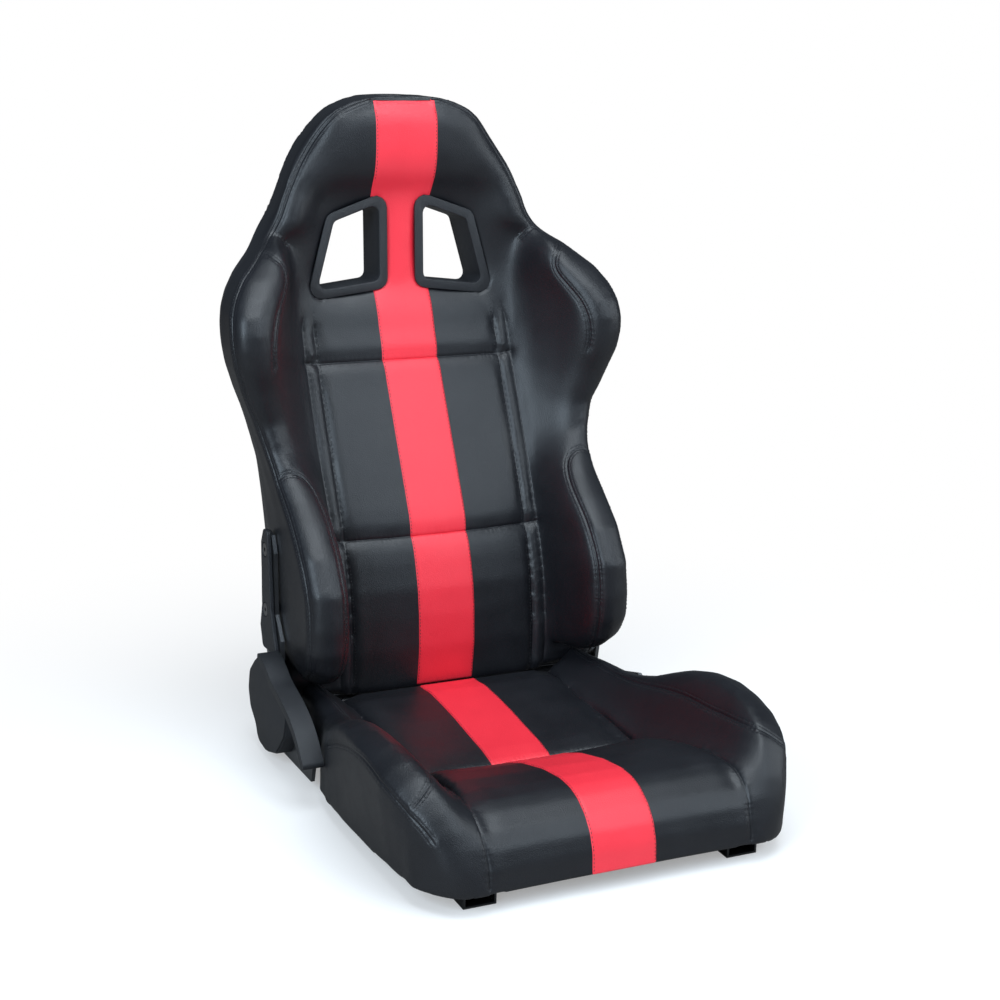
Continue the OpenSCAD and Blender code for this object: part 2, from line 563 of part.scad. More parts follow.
wire_z = [for (t = [0.17, 0.33, 0.64, 0.8]) mix(upright_foot, upright_top, t)];
module support_wires() color("#8d9094")
    for (z = wire_z) on_frame(0, z) translate([0, -tube_r + wire_r, 0]) turn_x()
        cylinder(r = wire_r, h = 2 * (upright_x - wire_gap), center = true);
wire_gap = sqrt(tube_r ^ 2 - ((tube_r - 2 * wire_r) * cos(frame_lean)) ^ 2) + 0.1;

// ---- base: soft pieces ----

cushion_front_y = crease_y - 5 - cushion_len;
cushion_foot_z = 14;
// Height of the flat cushion: front, middle, crease
cushion_line = [
    [cushion_front_y, cushion_front_z],
    [cushion_front_y + 50, cushion_front_z + 4],
    [cushion_front_y + 140, mix(cushion_front_z, cushion_rear_z, 0.72)],
    [crease_y - 5, cushion_rear_z]];
cushion_y = [for (t = [0, 0.05, 0.15, 0.32, 0.5, 0.68, 0.84, 0.94, 1])
    mix(cushion_front_y, crease_y - 5, t)];
cushion_x = [0, 0.29, 0.6, 0.86, 0.95, 1];
function cushion_top(x, y) =
    let (rear = 1 - step_up(y, crease_y - 50, crease_y - 5))
    smooth(cushion_line, y, 1) + 8 * (x / cushion_half) ^ 2 * rear
    + 5 * step_up(y, cushion_front_y, cushion_front_y + 30) * (1 - (x / cushion_half) ^ 4) * rear
    - 4 * step_up(abs(x), cushion_half * 0.9, cushion_half);
// The front seam runs forward a little towards its corners
function cushion_bow(x, y) = -9 * (x / cushion_half) ^ 2
    * (1 - step_up(y, cushion_front_y, cushion_front_y + 120));
pan_half = cushion_half + 1.5;
pan_t = 2;
pan_floor = 10;
function cushion_row(y) = both_sides([for (k = cushion_x) let (x = k * cushion_half)
    [x, y + cushion_bow(x, y), cushion_top(x, y)]]);
function cushion_back_row(y) = both_sides([for (k = cushion_x) let (x = k * (pan_half - pan_t - 4))
    [x, y + cushion_bow(x, y), cushion_foot_z]]);
module seat_cushion() color("#18191b")
    pad([for (y = cushion_y) cushion_row(y)], [for (y = cushion_y) cushion_back_row(y)]);
seat_stripe_y = [for (y = cushion_y) if (y < crease_y - 8) y];
function seat_stripe_row(y, off) = both_sides([for (k = stripe_x)
    let (x = k * cushion_half * 0.29 * stripe_half / 42)
    [x, y + cushion_bow(x, y), cushion_top(x, y) + off]]);
module seat_stripe() color("#d8232c")
    pad([for (y = seat_stripe_y) seat_stripe_row(y, clear + stripe_t)],
        [for (y = seat_stripe_y) seat_stripe_row(y, clear)]);

// Thigh roll: depth and height along the centre, from its rear seam over the crest to the lip
roll_rear_y = cushion_front_y - seam_gap;
roll_line = [
    [0, roll_rear_y, cushion_front_z],
    [0.12, roll_rear_y - 32, mix(cushion_front_z, roll_z, 0.3)],
    [0.26, roll_rear_y - 80, mix(cushion_front_z, roll_z, 0.63)],
    [0.4, roll_rear_y - 135, mix(cushion_front_z, roll_z, 0.88)],
    [0.52, roll_rear_y - 178, roll_z - 0.5],
    [0.6, roll_rear_y - 203, roll_z - 1],
    [0.68, base_front_y + 44, roll_z - 6],
    [0.76, base_front_y + 24, roll_z - 18],
    [0.84, base_front_y + 10, roll_z - 34],
    [0.92, base_front_y + 2, mix(skirt_z, roll_z, 0.33)],
    [1, base_front_y, skirt_z]];
roll_t = [0, 0.06, 0.14, 0.26, 0.4, 0.52, 0.6, 0.68, 0.76, 0.84, 0.92, 1];
roll_x = [0, 0.26, 0.5, 0.7, 0.86, 0.96, 1];
roll_half = 165;
// Depth of the roll at share k of its half width; its ends follow the bolsters' inner edge
function roll_y(k, t) = smooth(roll_line, t, 1) - 9 * k ^ 2 * (1 - step_up(t, 0, 0.5))
    - 3 * k ^ 4 * step_up(t, 0.6, 1);
function roll_edge(t) = bol(roll_y(1, t), 8) - clear;
function roll_point(k, t) =
    [k * roll_edge(t), roll_y(k, t),
        smooth(roll_line, t, 2) + (11 - 8 * t) * k ^ 2 * (1 - step_up(t, 0.1, 0.75))
            - 3 * step_up(k, 0.9, 1) * (1 - step_up(t, 0.8, 1))];
bar_top = runner_z + 8;
roof_z = bar_top + 1;
flange_t = 4;
flange_front = 92;
flange_rear = 208;
// Underside of the base bolsters: over the side bars, then over the recliner plates' flanges
function bolster_roof(y) = bar_top + 5 + flange_t * step_up(y, flange_front - 14, flange_front - 3);
front_wall = 18;
roll_under = [
    [roll_rear_y - 0, 28], [roll_rear_y - 14, 28], [roll_rear_y - 36, 28],
    [roll_rear_y - 44, roof_z], [roll_rear_y - 90, roof_z], [roll_rear_y - 130, roof_z],
    [roll_rear_y - 165, roof_z], [roll_rear_y - 195, roof_z],
    [base_front_y + front_wall + 6, roof_z], [base_front_y + front_wall, roof_z - 2],
    [base_front_y + front_wall - 2, roof_z - 12], [base_front_y + front_wall - 4, skirt_z]];
function roll_under_point(k, i) =
    let (bow = 9 * (1 - step_up(roll_t[i], 0, 0.5)))
    [k * (bol(roll_under[i].x - bow, 8) - clear), roll_under[i].x - bow * k ^ 2, roll_under[i].y];
roll_rows = [len(roll_t) - 1:-1:0];
module thigh_roll() color("#1a1b1d") pad(
    [for (i = roll_rows) both_sides([for (k = roll_x) roll_point(k, roll_t[i])])],
    [for (i = roll_rows) both_sides([for (k = roll_x) roll_under_point(k, i)])]);
function thigh_stripe_row(t, off, out) = both_sides([for (k = stripe_x)
    let (p = roll_point(k * stripe_half / roll_edge(t), t)) [k * stripe_half, p.y - out, p.z + off]]);
thigh_stripe_t = [for (i = roll_rows) if (i > 0) roll_t[i]];
function lean_out(t) = step_up(t, 0.52, 0.84);
module thigh_stripe() color("#d8232c") pad(
    [for (t = thigh_stripe_t) thigh_stripe_row(t, (clear + stripe_t) * (1.2 - lean_out(t)),
        (clear + stripe_t) * (lean_out(t) + 0.2))],
    [for (t = thigh_stripe_t) thigh_stripe_row(t, clear * (1.2 - lean_out(t)),
        clear * (lean_out(t) + 0.2))]);

// Base bolster, from its nose to its rear end.
// Depth; crest x, z; rim x, z; skirt x, z; height of the wall's foot; inner edge
nose_y = base_front_y - 4;
rear_y_end = pivot_y - foot_roll_r - 2;
bolster_line = [
    [nose_y, 176, 34, 182, 28, 186, skirt_z, 26, roll_half],
    [nose_y + 6, 188, 54, 200, 46, 202, skirt_z, 52, roll_half],
    [nose_y + 14, 194, 74, 213, 62, 213, skirt_z, 74, roll_half],
    [nose_y + 25, 198, 95, 222, 84, 222, skirt_z, 87, roll_half],
    [nose_y + 38, 203, 112, 231, 100, 231, skirt_z, 97, roll_half],
    [nose_y + 54, 209, 128, 241, 114, 239, skirt_z, 101, roll_half],
    [nose_y + 74, 214, 140, base_half - 9, 121, skirt_half - 11, skirt_z, 102, roll_half],
    [nose_y + 104, 219, side_z - 6, base_half - 2, 130, skirt_half - 8, skirt_z - 1, 95, 163],
    [nose_y + 150, 224, side_z, base_half, 140, skirt_half - 6, skirt_z - 2, 82, 157],
    [nose_y + 190, 226, side_z, base_half, 143, skirt_half - 4, skirt_z - 3, 72, 152],
    [nose_y + 235, 224, side_z - 9, base_half - 5, 138, skirt_half - 3, skirt_z - 4, 62, 148],
    [nose_y + 278, 220, side_z - 24, base_half - 10, 124, skirt_half - 3, skirt_z - 5, 58, 147],
    [nose_y + 314, plate_in - 21.5, side_z - 42, plate_in + 3.5, 108, plate_in + 9, skirt_z - 7, 60, 148.5],
    [nose_y + 350, plate_in - 29.5, side_z - 53, plate_in - 5.5, 94, plate_in + 4.5, skirt_z - 8, 61, 149.5],
    [nose_y + 364, plate_in - 32.5, side_z - 56, plate_in - 10.5, 91, plate_in - 2.5, skirt_z + 34, 61,
        149.8],
    [nose_y + 390, plate_in - 35.5, side_z - 60, plate_in - 17, 88, plate_in - 10, skirt_z + 34, 62, 150],
    [nose_y + 440, plate_in - 39.5, side_z - 62, plate_in - 22.5, 85, plate_in - 18, skirt_z + 34, 63, 150],
    [nose_y + 480, plate_in - 43.5, side_z - 65, plate_in - 28, 82, plate_in - 25, skirt_z + 34, 63, 150],
    [rear_y_end, plate_in - 45.5, side_z - 66, plate_in - 31, 81, plate_in - 28.5, skirt_z + 34, 63, 151]];
function bol(y, k) = smooth(bolster_line, y, k);
bolster_y = [for (d = [0, 6, 14, 25, 38, 54, 76, 104, 140, 180, 220, 256, 290, 322, 348, 364, 390,
    440, 480]) nose_y + d, rear_y_end];
function bolster_row(y) =
    let (x0 = bol(y, 8) + seam_gap, z0 = bol(y, 7), xc = bol(y, 1), zc = bol(y, 2),
        xr = bol(y, 3), zr = bol(y, 4), xs = bol(y, 5), zs = bol(y, 6))
    [[x0, y, z0], [mix(x0, xc, 0.3), y, mix(z0, zc, 0.22)], [mix(x0, xc, 0.58), y, mix(z0, zc, 0.62)],
        [mix(x0, xc, 0.84), y, mix(z0, zc, 0.94)], [mix(xc, xr, 0.12), y, zc],
        [mix(xc, xr, 0.55), y, mix(zc, zr, 0.26)], [mix(xc, xr, 0.88), y, mix(zc, zr, 0.66)],
        [xr, y, zr], [mix(xr, xs, 0.3) + 2, y, mix(zr, zs, 0.3)],
        [mix(xr, xs, 0.65) + 1, y, mix(zr, zs, 0.65)], [xs, y, zs]];
function bolster_back_row(y) =
    let (x0 = bol(y, 8) + seam_gap, xs = bol(y, 5), zs = bol(y, 6), x1 = xs - 13,
        nose = 1 - step_up(y, nose_y + front_wall - 2, nose_y + front_wall + 4),
        roof = min(mix(bolster_roof(y), skirt_z, nose), bol(y, 7) - 4))
    [for (t = [0, 0.15, 0.3, 0.45, 0.6, 0.74, 0.88, 1]) [mix(x0, x1, t), y, roof],
        for (t = [0.35, 0.7, 1]) [x1 + (1 + 6 * nose) * t, y, mix(roof, zs, t)]];
module bolster_pad()
    pad([for (y = bolster_y) bolster_row(y)], [for (y = bolster_y) bolster_back_row(y)]);
module base_bolster_right() color("#141517") bolster_pad();
module base_bolster_left() color("#141517") mirror([1, 0, 0]) bolster_pad();

// ---- base: rails ----

rail_front = -rail_len / 2 - 32;
runner_front = rail_front + 52;
lip = 9;
rail_profile = [[-rail_w / 2, 0], [rail_w / 2, 0], [rail_w / 2, rail_h], [rail_w / 2 - lip - rail_t, rail_h],
    [rail_w / 2 - lip - rail_t, rail_h - rail_t], [rail_w / 2 - rail_t, rail_h - rail_t],
    [rail_w / 2 - rail_t, rail_t], [rail_t - rail_w / 2, rail_t],
    [rail_t - rail_w / 2, rail_h - rail_t], [rail_t + lip - rail_w / 2, rail_h - rail_t],
    [rail_t + lip - rail_w / 2, rail_h], [-rail_w / 2, rail_h]];
// A section in X and Z, run along +Y from y0
module run_y(x, y0, length) translate([x, y0 + length, 0]) turn_y() linear_extrude(length) children();
notch_pitch = 20;
notch_half = 4;
module lower_rail() difference() {
    run_y(rail_x, rail_front, rail_len) polygon(rail_profile);
    for (y = [-1, 1]) translate([rail_x, y * bolt_span / 2, -1])
        cylinder(r = bolt_hole_r, h = rail_t + 2);
    for (k = [0:9]) translate([rail_x - rail_w / 2 - 1, latch_y - 90 + notch_pitch * k - notch_half, rail_h - 8])
        cube([rail_t + 2, 2 * notch_half, 20]);
}
module lower_rail_right() color("#6c6f72") lower_rail();
module lower_rail_left() color("#6c6f72") mirror([1, 0, 0]) lower_rail();

web = 3.5;
wing_w = rail_w / 2 - rail_t - 2;
shoe_t = 3;
runner_foot = rail_t + clear + shoe_t;
runner_profile = [[-wing_w, runner_foot], [wing_w, runner_foot], [wing_w, runner_foot + rail_t],
    [web, runner_foot + rail_t], [web, runner_z - rail_t], [rail_w / 2 - 2, runner_z - rail_t],
    [rail_w / 2 - 2, runner_z], [2 - rail_w / 2, runner_z], [2 - rail_w / 2, runner_z - rail_t],
    [-web, runner_z - rail_t], [-web, runner_foot + rail_t], [-wing_w, runner_foot + rail_t]];
module upper_rail() run_y(rail_x, runner_front, runner_len) polygon(runner_profile);
module upper_rail_right() color("#85888c") upper_rail();
module upper_rail_left() color("#85888c") mirror([1, 0, 0]) upper_rail();
shoe_len = 46;
module glide_shoes() color("#1b1b1b")
    for (s = [-1, 1]) for (y = [runner_front + 6, runner_front + runner_len - 6 - shoe_len])
        translate([s * rail_x - wing_w, y, runner_foot - shoe_t]) cube([2 * wing_w, shoe_len, shoe_t]);

// ---- base: frame, pan and cross tube ----

bar_in = 18;
bar_front = base_front_y + front_wall + 14;
bar_rear = 214;
front_cross = [base_front_y + 50, cushion_front_y - 72];
cross_w = 22;
side_bar_x = rail_x - 6;
base_screws_at = [[runner_front + 30, 0], [flange_front + 22, flange_t], [flange_rear - 22, flange_t]];
base_screw_x = side_bar_x + 12;
base_screw_r = 4;
module base_frame() color("#2f3134") difference() {
    union() {
        for (s = [-1, 1])
            translate([s * base_screw_x - 12, bar_front, runner_z])
                cube([24, bar_rear - bar_front, bar_top - runner_z]);
        for (y = front_cross) translate([-side_bar_x, y - cross_w / 2, runner_z])
            cube([2 * side_bar_x, cross_w, bar_top - runner_z]);
    }
    for (s = [-1, 1]) for (p = base_screws_at) translate([s * base_screw_x, p.x, 0])
        cylinder(r = base_screw_r + 0.1, h = 100);
}
pan_front = cushion_front_y + 3;
pan_rear = crease_y - 8;
flange_out = side_bar_x - 1;
module seat_pan() color("#4a4d50") difference() {
    run_y(0, pan_front, pan_rear - pan_front) polygon([
        [-pan_half, pan_floor], [pan_half, pan_floor], [pan_half, runner_z],
        [flange_out, runner_z], [flange_out, runner_z + pan_t], [pan_half - pan_t, runner_z + pan_t],
        [pan_half - pan_t, pan_floor + pan_t], [pan_t - pan_half, pan_floor + pan_t],
        [pan_t - pan_half, runner_z + pan_t], [-flange_out, runner_z + pan_t],
        [-flange_out, runner_z], [-pan_half, runner_z]]);
    for (s = [-1, 0, 1]) for (y = [0.3, 0.7])
        translate([s * 80, mix(pan_front, pan_rear, y), 0]) cylinder(r = 18, h = 20);
}
rear_tube_z = rail_h + 10 + rear_tube_r;
module rear_cross_tube() color("#3a3c3f") translate([0, pivot_y, rear_tube_z]) turn_x()
    cylinder(r = rear_tube_r, h = 2 * plate_in, center = true);

// ---- recliner ----

// A plate in Y and Z, from x0 outwards
module plate_x(x0, t) translate([x0, 0, 0]) rotate([90, 0, 90]) linear_extrude(t) children();
module at_pivot() translate([pivot_y, pivot_z]) children();
flange_rear_z = 61;
flange_front_z = 84;
module recliner_plate() difference() {
    union() {
        plate_x(plate_in, plate_t) {
            at_pivot() circle(r = hub_r);
            polygon([[pivot_y - hub_r, pivot_z], [pivot_y - 18, pivot_z - 34], [pivot_y - 44, pivot_z - 42],
                [flange_rear, flange_rear_z], [flange_front + 34, flange_front_z], [flange_front + 12, 66],
                [flange_front + 4, 40], [flange_front + 12, 12], [pivot_y - 40, 8], [pivot_y + 14, 20],
                [pivot_y + hub_r, pivot_z]]);
        }
        translate([plate_in - boss_len, pivot_y, pivot_z]) turn_x() cylinder(r = boss_r, h = boss_len + 1);
        translate([side_bar_x + 2, flange_front, bar_top])
            cube([plate_in - side_bar_x - 1, flange_rear - flange_front, flange_t]);
    }
    translate([plate_in - 30, pivot_y, pivot_z]) turn_x() cylinder(r = shaft_r + 0.08, h = 60);
    translate([plate_in - 1, pawl_y, pawl_z]) turn_x() cylinder(r = pin_r + 0.02, h = 60);
    for (p = base_screws_at) translate([base_screw_x, p.x, bar_top - 1])
        cylinder(r = base_screw_r + 0.1, h = 20);
}
boss_len = plate_t + 1.2;
module recliner_plate_right() color("#9a9da1") recliner_plate();
module recliner_plate_left() color("#9a9da1") mirror([1, 0, 0]) recliner_plate();

tooth_count = 12;
tooth_pitch = 9;
module recliner_arm() plate_x(arm_in, plate_t) difference() {
    union() {
        at_pivot() circle(r = hub_r);
        polygon([[pivot_y - hub_r + 2, pivot_z + 10], [pivot_y + hub_r - 2, pivot_z + 8],
            [pivot_y + 46, pivot_z + 70], [lug_y + 20, lug_z[1] + 10], [lug_y + 8, lug_z[1] + 24],
            [lug_y - 12, lug_z[1] + 22], [lug_y - 22, lug_z[1]], [pivot_y - 8, pivot_z + 88],
            [pivot_y - 30, pivot_z + 58], [pivot_y - 32, pivot_z + 34]]);
    }
    at_pivot() circle(r = boss_r + 0.08);
    for (z = lug_z) translate([lug_y, z]) circle(r = screw_r + 0.05);
    for (k = [0:tooth_count - 1]) at_pivot() rotate(-160 + tooth_pitch * k)
        translate([hub_r + 1, 0]) rotate(45) square(3.6, center = true);
}
module recliner_arm_right() color("#9a9da1") recliner_arm();
module recliner_arm_left() color("#9a9da1") mirror([1, 0, 0]) recliner_arm();

arm_cover_t = 6;
cover_in = arm_in + plate_t + clear;
arm_cover_outline = rounded([[lug_y - 46, pivot_z + 38], [lug_y + 10, pivot_z + 34],
    [lug_y + 20, pivot_z + 62], [lug_y + 12, lug_z[0] + 4], [lug_y + 14, lug_z[1] + 8],
    [lug_y + 4, lug_z[1] + 28], [lug_y - 12, lug_z[1] + 28], [lug_y - 24, lug_z[0] + 4],
    [lug_y - 34, pivot_z + 64]], 7);
module arm_cover() plate_x(cover_in, arm_cover_t) difference() {
    polygon(arm_cover_outline);
    for (z = lug_z) translate([lug_y, z]) circle(r = screw_r * 1.9);
}
module arm_cover_right() color("#232427") arm_cover();
module arm_cover_left() color("#232427") mirror([1, 0, 0]) arm_cover();

// A screw along X: head outside, shank inwards
module screw_x(r, length) {
    turn_x() translate([0, 0, -length]) cylinder(r = r, h = length);
    turn_x() difference() {
        cylinder(r = r * 1.7, h = r * 1.1);
        translate([0, 0, r * 0.5]) cylinder(r = r * 0.62, h = r, $fn = 6);
    }
}
module arm_screws() color("#55585c") for (s = [0, 1]) mirror([s, 0, 0]) for (z = lug_z)
    translate([arm_in + plate_t, lug_y, z]) screw_x(screw_r, arm_in + plate_t - lug_x + 2);
module base_screws() color("#55585c") for (s = [-1, 1]) for (p = base_screws_at)
    translate([s * base_screw_x, p.x, runner_z]) {
        cylinder(r = base_screw_r, h = bar_top - runner_z + p.y);
        translate([0, 0, bar_top - runner_z + p.y]) cylinder(r = base_screw_r * 1.6, h = 3.5);
    }

// ---- recliner cover, handle and lock ----

plate_out = plate_in + plate_t;
cover_out = plate_out + 21;
cover_t = 2.5;
cover_round = 21;
cover_outline = [[234, 134], [264, 124], [290, 100], [296, 72], [288, 48], [266, 32], [256, 12],
    [222, 9], [180, 22], [148, 56], [138, 88], [150, 104], [176, 112], [204, 127]];
cover_ccw = [for (i = [len(cover_outline) - 1:-1:0]) cover_outline[i]];
module recliner_cover_left() color("#242528") mirror([1, 0, 0]) {
    plate_x(cover_out - cover_t, cover_t) polygon(rounded(inset(cover_ccw, 2), cover_round - 2));
    difference() {
        plate_x(plate_out + clear, cover_out - cover_t - plate_out - clear + eps)
            polygon(rounded(cover_ccw, cover_round));
        plate_x(plate_out, cover_out - plate_out) polygon(rounded(inset(cover_ccw, cover_t), cover_round - 4));
        plate_x(plate_out, cover_out - cover_t - plate_out)
            polygon([[100, 78], [215, 86], [pivot_y + 10, 88], [pivot_y + 20, 140], [200, 200], [100, 180]]);
    }
    for (p = [[236, 22], [278, 60]]) plate_x(plate_out, cover_out - plate_out - 1) translate(p) circle(r = 4);
}
module recliner_cap_right() color("#242528")
    translate([plate_out + clear, pivot_y, pivot_z]) turn_x() difference() {
        cylinder(r = 16, h = 9);
        translate([0, 0, -1]) cylinder(r = 13.5, h = 8);
    }

handle_hub_w = 9;
shaft_left = plate_out + 6 + handle_hub_w;
shaft_right = plate_out + 5;
module sync_shaft() color("#8d9094") translate([-shaft_left, pivot_y, pivot_z]) turn_x()
    cylinder(r = shaft_r, h = shaft_left + shaft_right);
// Handle: a flat arm on the shaft that arches forward over the cover and down to its tip
// Distance along it, depth, height
handle_line = [[0, 224, 139], [22, 203, 134], [54, 175, 119.5], [86, 145, 111.5], [116, 117, 103],
    [154, 84, 86], [196, 55, 58]];
handle_end = handle_line[len(handle_line) - 1][0];
handle_in = plate_out + 2;
function handle_at(t) = [smooth(handle_line, t, 1), smooth(handle_line, t, 2)];
function handle_edge(t, half) =
    let (u = unit(handle_at(min(t + 2, handle_end)) - handle_at(max(t - 2, 0))))
    handle_at(t) + half * [-u.y, u.x];
handle_steps = 18;
handle_band = [for (k = [0:handle_steps]) handle_edge(handle_end * k / handle_steps, handle_t / 2),
    for (k = [handle_steps:-1:0]) handle_edge(handle_end * k / handle_steps, -handle_t / 2)];
module recline_handle() color("#2d2f32") mirror([1, 0, 0]) {
    difference() {
        union() {
            plate_x(handle_in, handle_hub_w) at_pivot() circle(r = shaft_r + 5);
            plate_x(handle_in, handle_hub_w) hull() {
                at_pivot() circle(r = 8);
                translate(handle_at(0)) circle(r = handle_t / 2);
            }
        }
        plate_x(handle_in - 1, 60) at_pivot() circle(r = shaft_r + 0.02);
    }
    plate_x(handle_in, handle_w) {
        polygon(handle_band);
        for (t = [0, handle_end]) translate(handle_at(t)) circle(r = handle_t / 2);
    }
}

// Cams on the shaft inside each arm, and the pawls that they work
cam_t = 4;
cam_in = arm_in - 1 - cam_t;
module release_cams() color("#85888c") for (s = [0, 1]) mirror([s, 0, 0])
    plate_x(cam_in, cam_t) difference() {
        union() {
            at_pivot() circle(r = 11);
            at_pivot() polygon([[-8, 0], [-6, -23], [-1, -26], [5, -23], [9, 0]]);
        }
        at_pivot() circle(r = shaft_r + 0.02);
    }
pawl_y = pivot_y - 34;
pawl_z = pivot_z - 42;
pin_r = 4;
module lock_pawls() color("#6c6f72") for (s = [0, 1]) mirror([s, 0, 0]) plate_x(arm_in, plate_t) difference() {
    union() {
        translate([pawl_y, pawl_z]) circle(r = 8);
        polygon([[pawl_y + 2, pawl_z - 7], [pawl_y + 28, pawl_z + 8], [pawl_y + 35, pawl_z + 12],
            [pawl_y + 34, pawl_z + 16], [pawl_y + 26, pawl_z + 16], [pawl_y - 2, pawl_z + 7]]);
    }
    translate([pawl_y, pawl_z]) circle(r = pin_r + 0.08);
}
module pawl_pins() color("#8d9094") for (s = [0, 1]) mirror([s, 0, 0])
    translate([arm_in - 3, pawl_y, pawl_z]) turn_x() {
        cylinder(r = pin_r, h = plate_in + plate_t + 3 - arm_in);
        cylinder(r = pin_r + 3, h = 2.5);
    }

// ---- slide release ----

bar_r = 5;
bar_z = 16.5;
bar_y = base_front_y + front_wall + 16;
bar_half = 128;
bar_pivot_y = front_cross[1];
latch_y = bar_pivot_y - 60;
bar_end_y = bar_pivot_y + 10;
module release_bar() color("#7c7f83") difference() {
    union() {
        translate([0, bar_y, bar_z]) turn_x() cylinder(r = bar_r, h = 2 * (bar_half + bar_r), center = true);
        for (s = [-1, 1]) translate([s * bar_half, bar_y, bar_z]) rotate([-90, 0, 0])
            cylinder(r = bar_r, h = bar_end_y - bar_y);
    }
    translate([0, bar_pivot_y, bar_z]) turn_x() cylinder(r = pin_r - 0.92, h = 400, center = true);
}
// Latch fingers beside the floor rails
module rail_latches() color("#6c6f72") for (s = [0, 1]) mirror([s, 0, 0])
    translate([bar_half + bar_r, latch_y - 8, bar_z - 3]) cube([rail_x - rail_w / 2 - 1 - bar_half - bar_r, 16, 6]);
// Pins that hold the bar in the two hangers under the seat frame
module bar_pivots() color("#55585c") for (s = [0, 1]) mirror([s, 0, 0]) {
    translate([bar_half - bar_r - 3, bar_pivot_y, bar_z]) turn_x() cylinder(r = pin_r - 1, h = 2 * bar_r + 9);
    translate([bar_half + bar_r + 1, bar_pivot_y - 8, bar_z - 6]) cube([3, 16, runner_z - bar_z + 6]);
}

lower_rail_left();
lower_rail_right();
upper_rail_left();
upper_rail_right();
glide_shoes();
base_frame();
rear_cross_tube();
seat_pan();
seat_cushion();
thigh_roll();
base_bolster_left();
base_bolster_right();
seat_stripe();
thigh_stripe();
recliner_plate_left();
recliner_plate_right();
recliner_cover_left();
recliner_cap_right();
base_screws();
recliner_arm_left();
recliner_arm_right();
arm_cover_left();
arm_cover_right();
back_frame();
support_wires();
back_insert();
headrest_pad();
back_bolster_left();
back_bolster_right();
foot_roll_left();
foot_roll_right();
rear_panel();
back_stripe();
headrest_stripe();
slot_frame_left();
slot_frame_right();
slot_ring_left();
slot_ring_right();
arm_screws();
sync_shaft();
recline_handle();
release_cams();
lock_pawls();
pawl_pins();
release_bar();
bar_pivots();
rail_latches();
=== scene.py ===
# %% [markdown]
# # A reclining bucket seat, dressed in Blender
# The seat comes in as a finished engineering model: rails, frame, recliners and plain foam blocks.
# This lesson upholsters the foam, cuts and sews the cover, rounds the moulded plastic and gives
# every surface a finish. Sizes are metres, apart from the seam places, which are millimetres. x is
# the seat's width, the seat faces -y, and z is up.

# %% Load the engineering model
import bpy
import bmesh
import math
import numpy as np
from mathutils import Matrix, Vector
from mathutils.bvhtree import BVHTree
from mathutils.kdtree import KDTree


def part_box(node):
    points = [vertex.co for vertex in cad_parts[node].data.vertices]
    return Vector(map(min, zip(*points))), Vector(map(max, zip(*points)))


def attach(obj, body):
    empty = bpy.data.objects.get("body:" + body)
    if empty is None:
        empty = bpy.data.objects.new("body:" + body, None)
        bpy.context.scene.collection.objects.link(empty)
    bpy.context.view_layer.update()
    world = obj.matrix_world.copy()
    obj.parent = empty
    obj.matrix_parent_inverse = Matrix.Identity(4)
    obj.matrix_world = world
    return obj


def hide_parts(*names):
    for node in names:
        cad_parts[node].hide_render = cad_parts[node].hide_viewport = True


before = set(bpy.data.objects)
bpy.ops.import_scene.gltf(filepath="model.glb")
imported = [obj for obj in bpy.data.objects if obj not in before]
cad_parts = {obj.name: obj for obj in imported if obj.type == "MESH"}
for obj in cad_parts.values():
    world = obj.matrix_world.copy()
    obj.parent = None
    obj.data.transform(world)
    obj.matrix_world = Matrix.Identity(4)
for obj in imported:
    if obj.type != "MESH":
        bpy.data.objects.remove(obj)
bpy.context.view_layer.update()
scene = bpy.context.scene
bpy.ops.object.select_all(action="DESELECT")

# %% [markdown]
# ## The camera
# A portrait of a seat is taken from a little above, turned about 25 degrees towards the recliner
# side, with a moderate lens from a little over two metres away, so that near parts aren't
# stretched. A Track To constraint could aim the camera, but it gives no roll. So the right, the up
# and the backward direction are worked out and written into the camera's matrix.

# %% Camera
yaw, pitch, roll = math.radians(-25.17), math.radians(15.39), math.radians(1.5)
eye = Vector((-0.9406, -1.9205, 0.9694))
view_back = Vector((math.sin(yaw) * math.cos(pitch), -math.cos(yaw) * math.cos(pitch), math.sin(pitch)))
flat_right = Vector((math.cos(yaw), math.sin(yaw), 0))
flat_up = view_back.cross(flat_right)
view_right = math.cos(roll) * flat_right + math.sin(roll) * flat_up
view_up = math.cos(roll) * flat_up - math.sin(roll) * flat_right
lens = bpy.data.cameras.new("portrait_lens")
lens.lens, lens.sensor_width, lens.clip_end = 66.6, 36.0, 50
camera = bpy.data.objects.new("portrait_camera", lens)
scene.collection.objects.link(camera)
camera.matrix_world = Matrix((
    (view_right.x, view_up.x, view_back.x, eye.x),
    (view_right.y, view_up.y, view_back.y, eye.y),
    (view_right.z, view_up.z, view_back.z, eye.z),
    (0, 0, 0, 1)))
scene.camera = camera
print("camera at", [round(v, 3) for v in camera.location])

# %% [markdown]
# ## Handling meshes
# Operators act on whatever is selected, so every step first selects one object alone. Padded
# covers could be shaped in sculpt mode, but here numpy works on the vertex positions, which is
# quick and gives the same result each time.

# %% Selecting, reading and moving
def alone(piece):
    bpy.ops.object.select_all(action="DESELECT")
    bpy.context.view_layer.objects.active = piece
    piece.select_set(True)
    return piece


def apply_modifiers(piece):
    alone(piece)
    for m in list(piece.modifiers):
        bpy.ops.object.modifier_apply(modifier=m.name)
    return piece


def points(piece):
    co = np.empty(len(piece.data.vertices) * 3)
    piece.data.vertices.foreach_get("co", co)
    return co.reshape(-1, 3)


def normals(piece):
    no = np.empty(len(piece.data.vertices) * 3)
    piece.data.vertices.foreach_get("normal", no)
    return no.reshape(-1, 3)


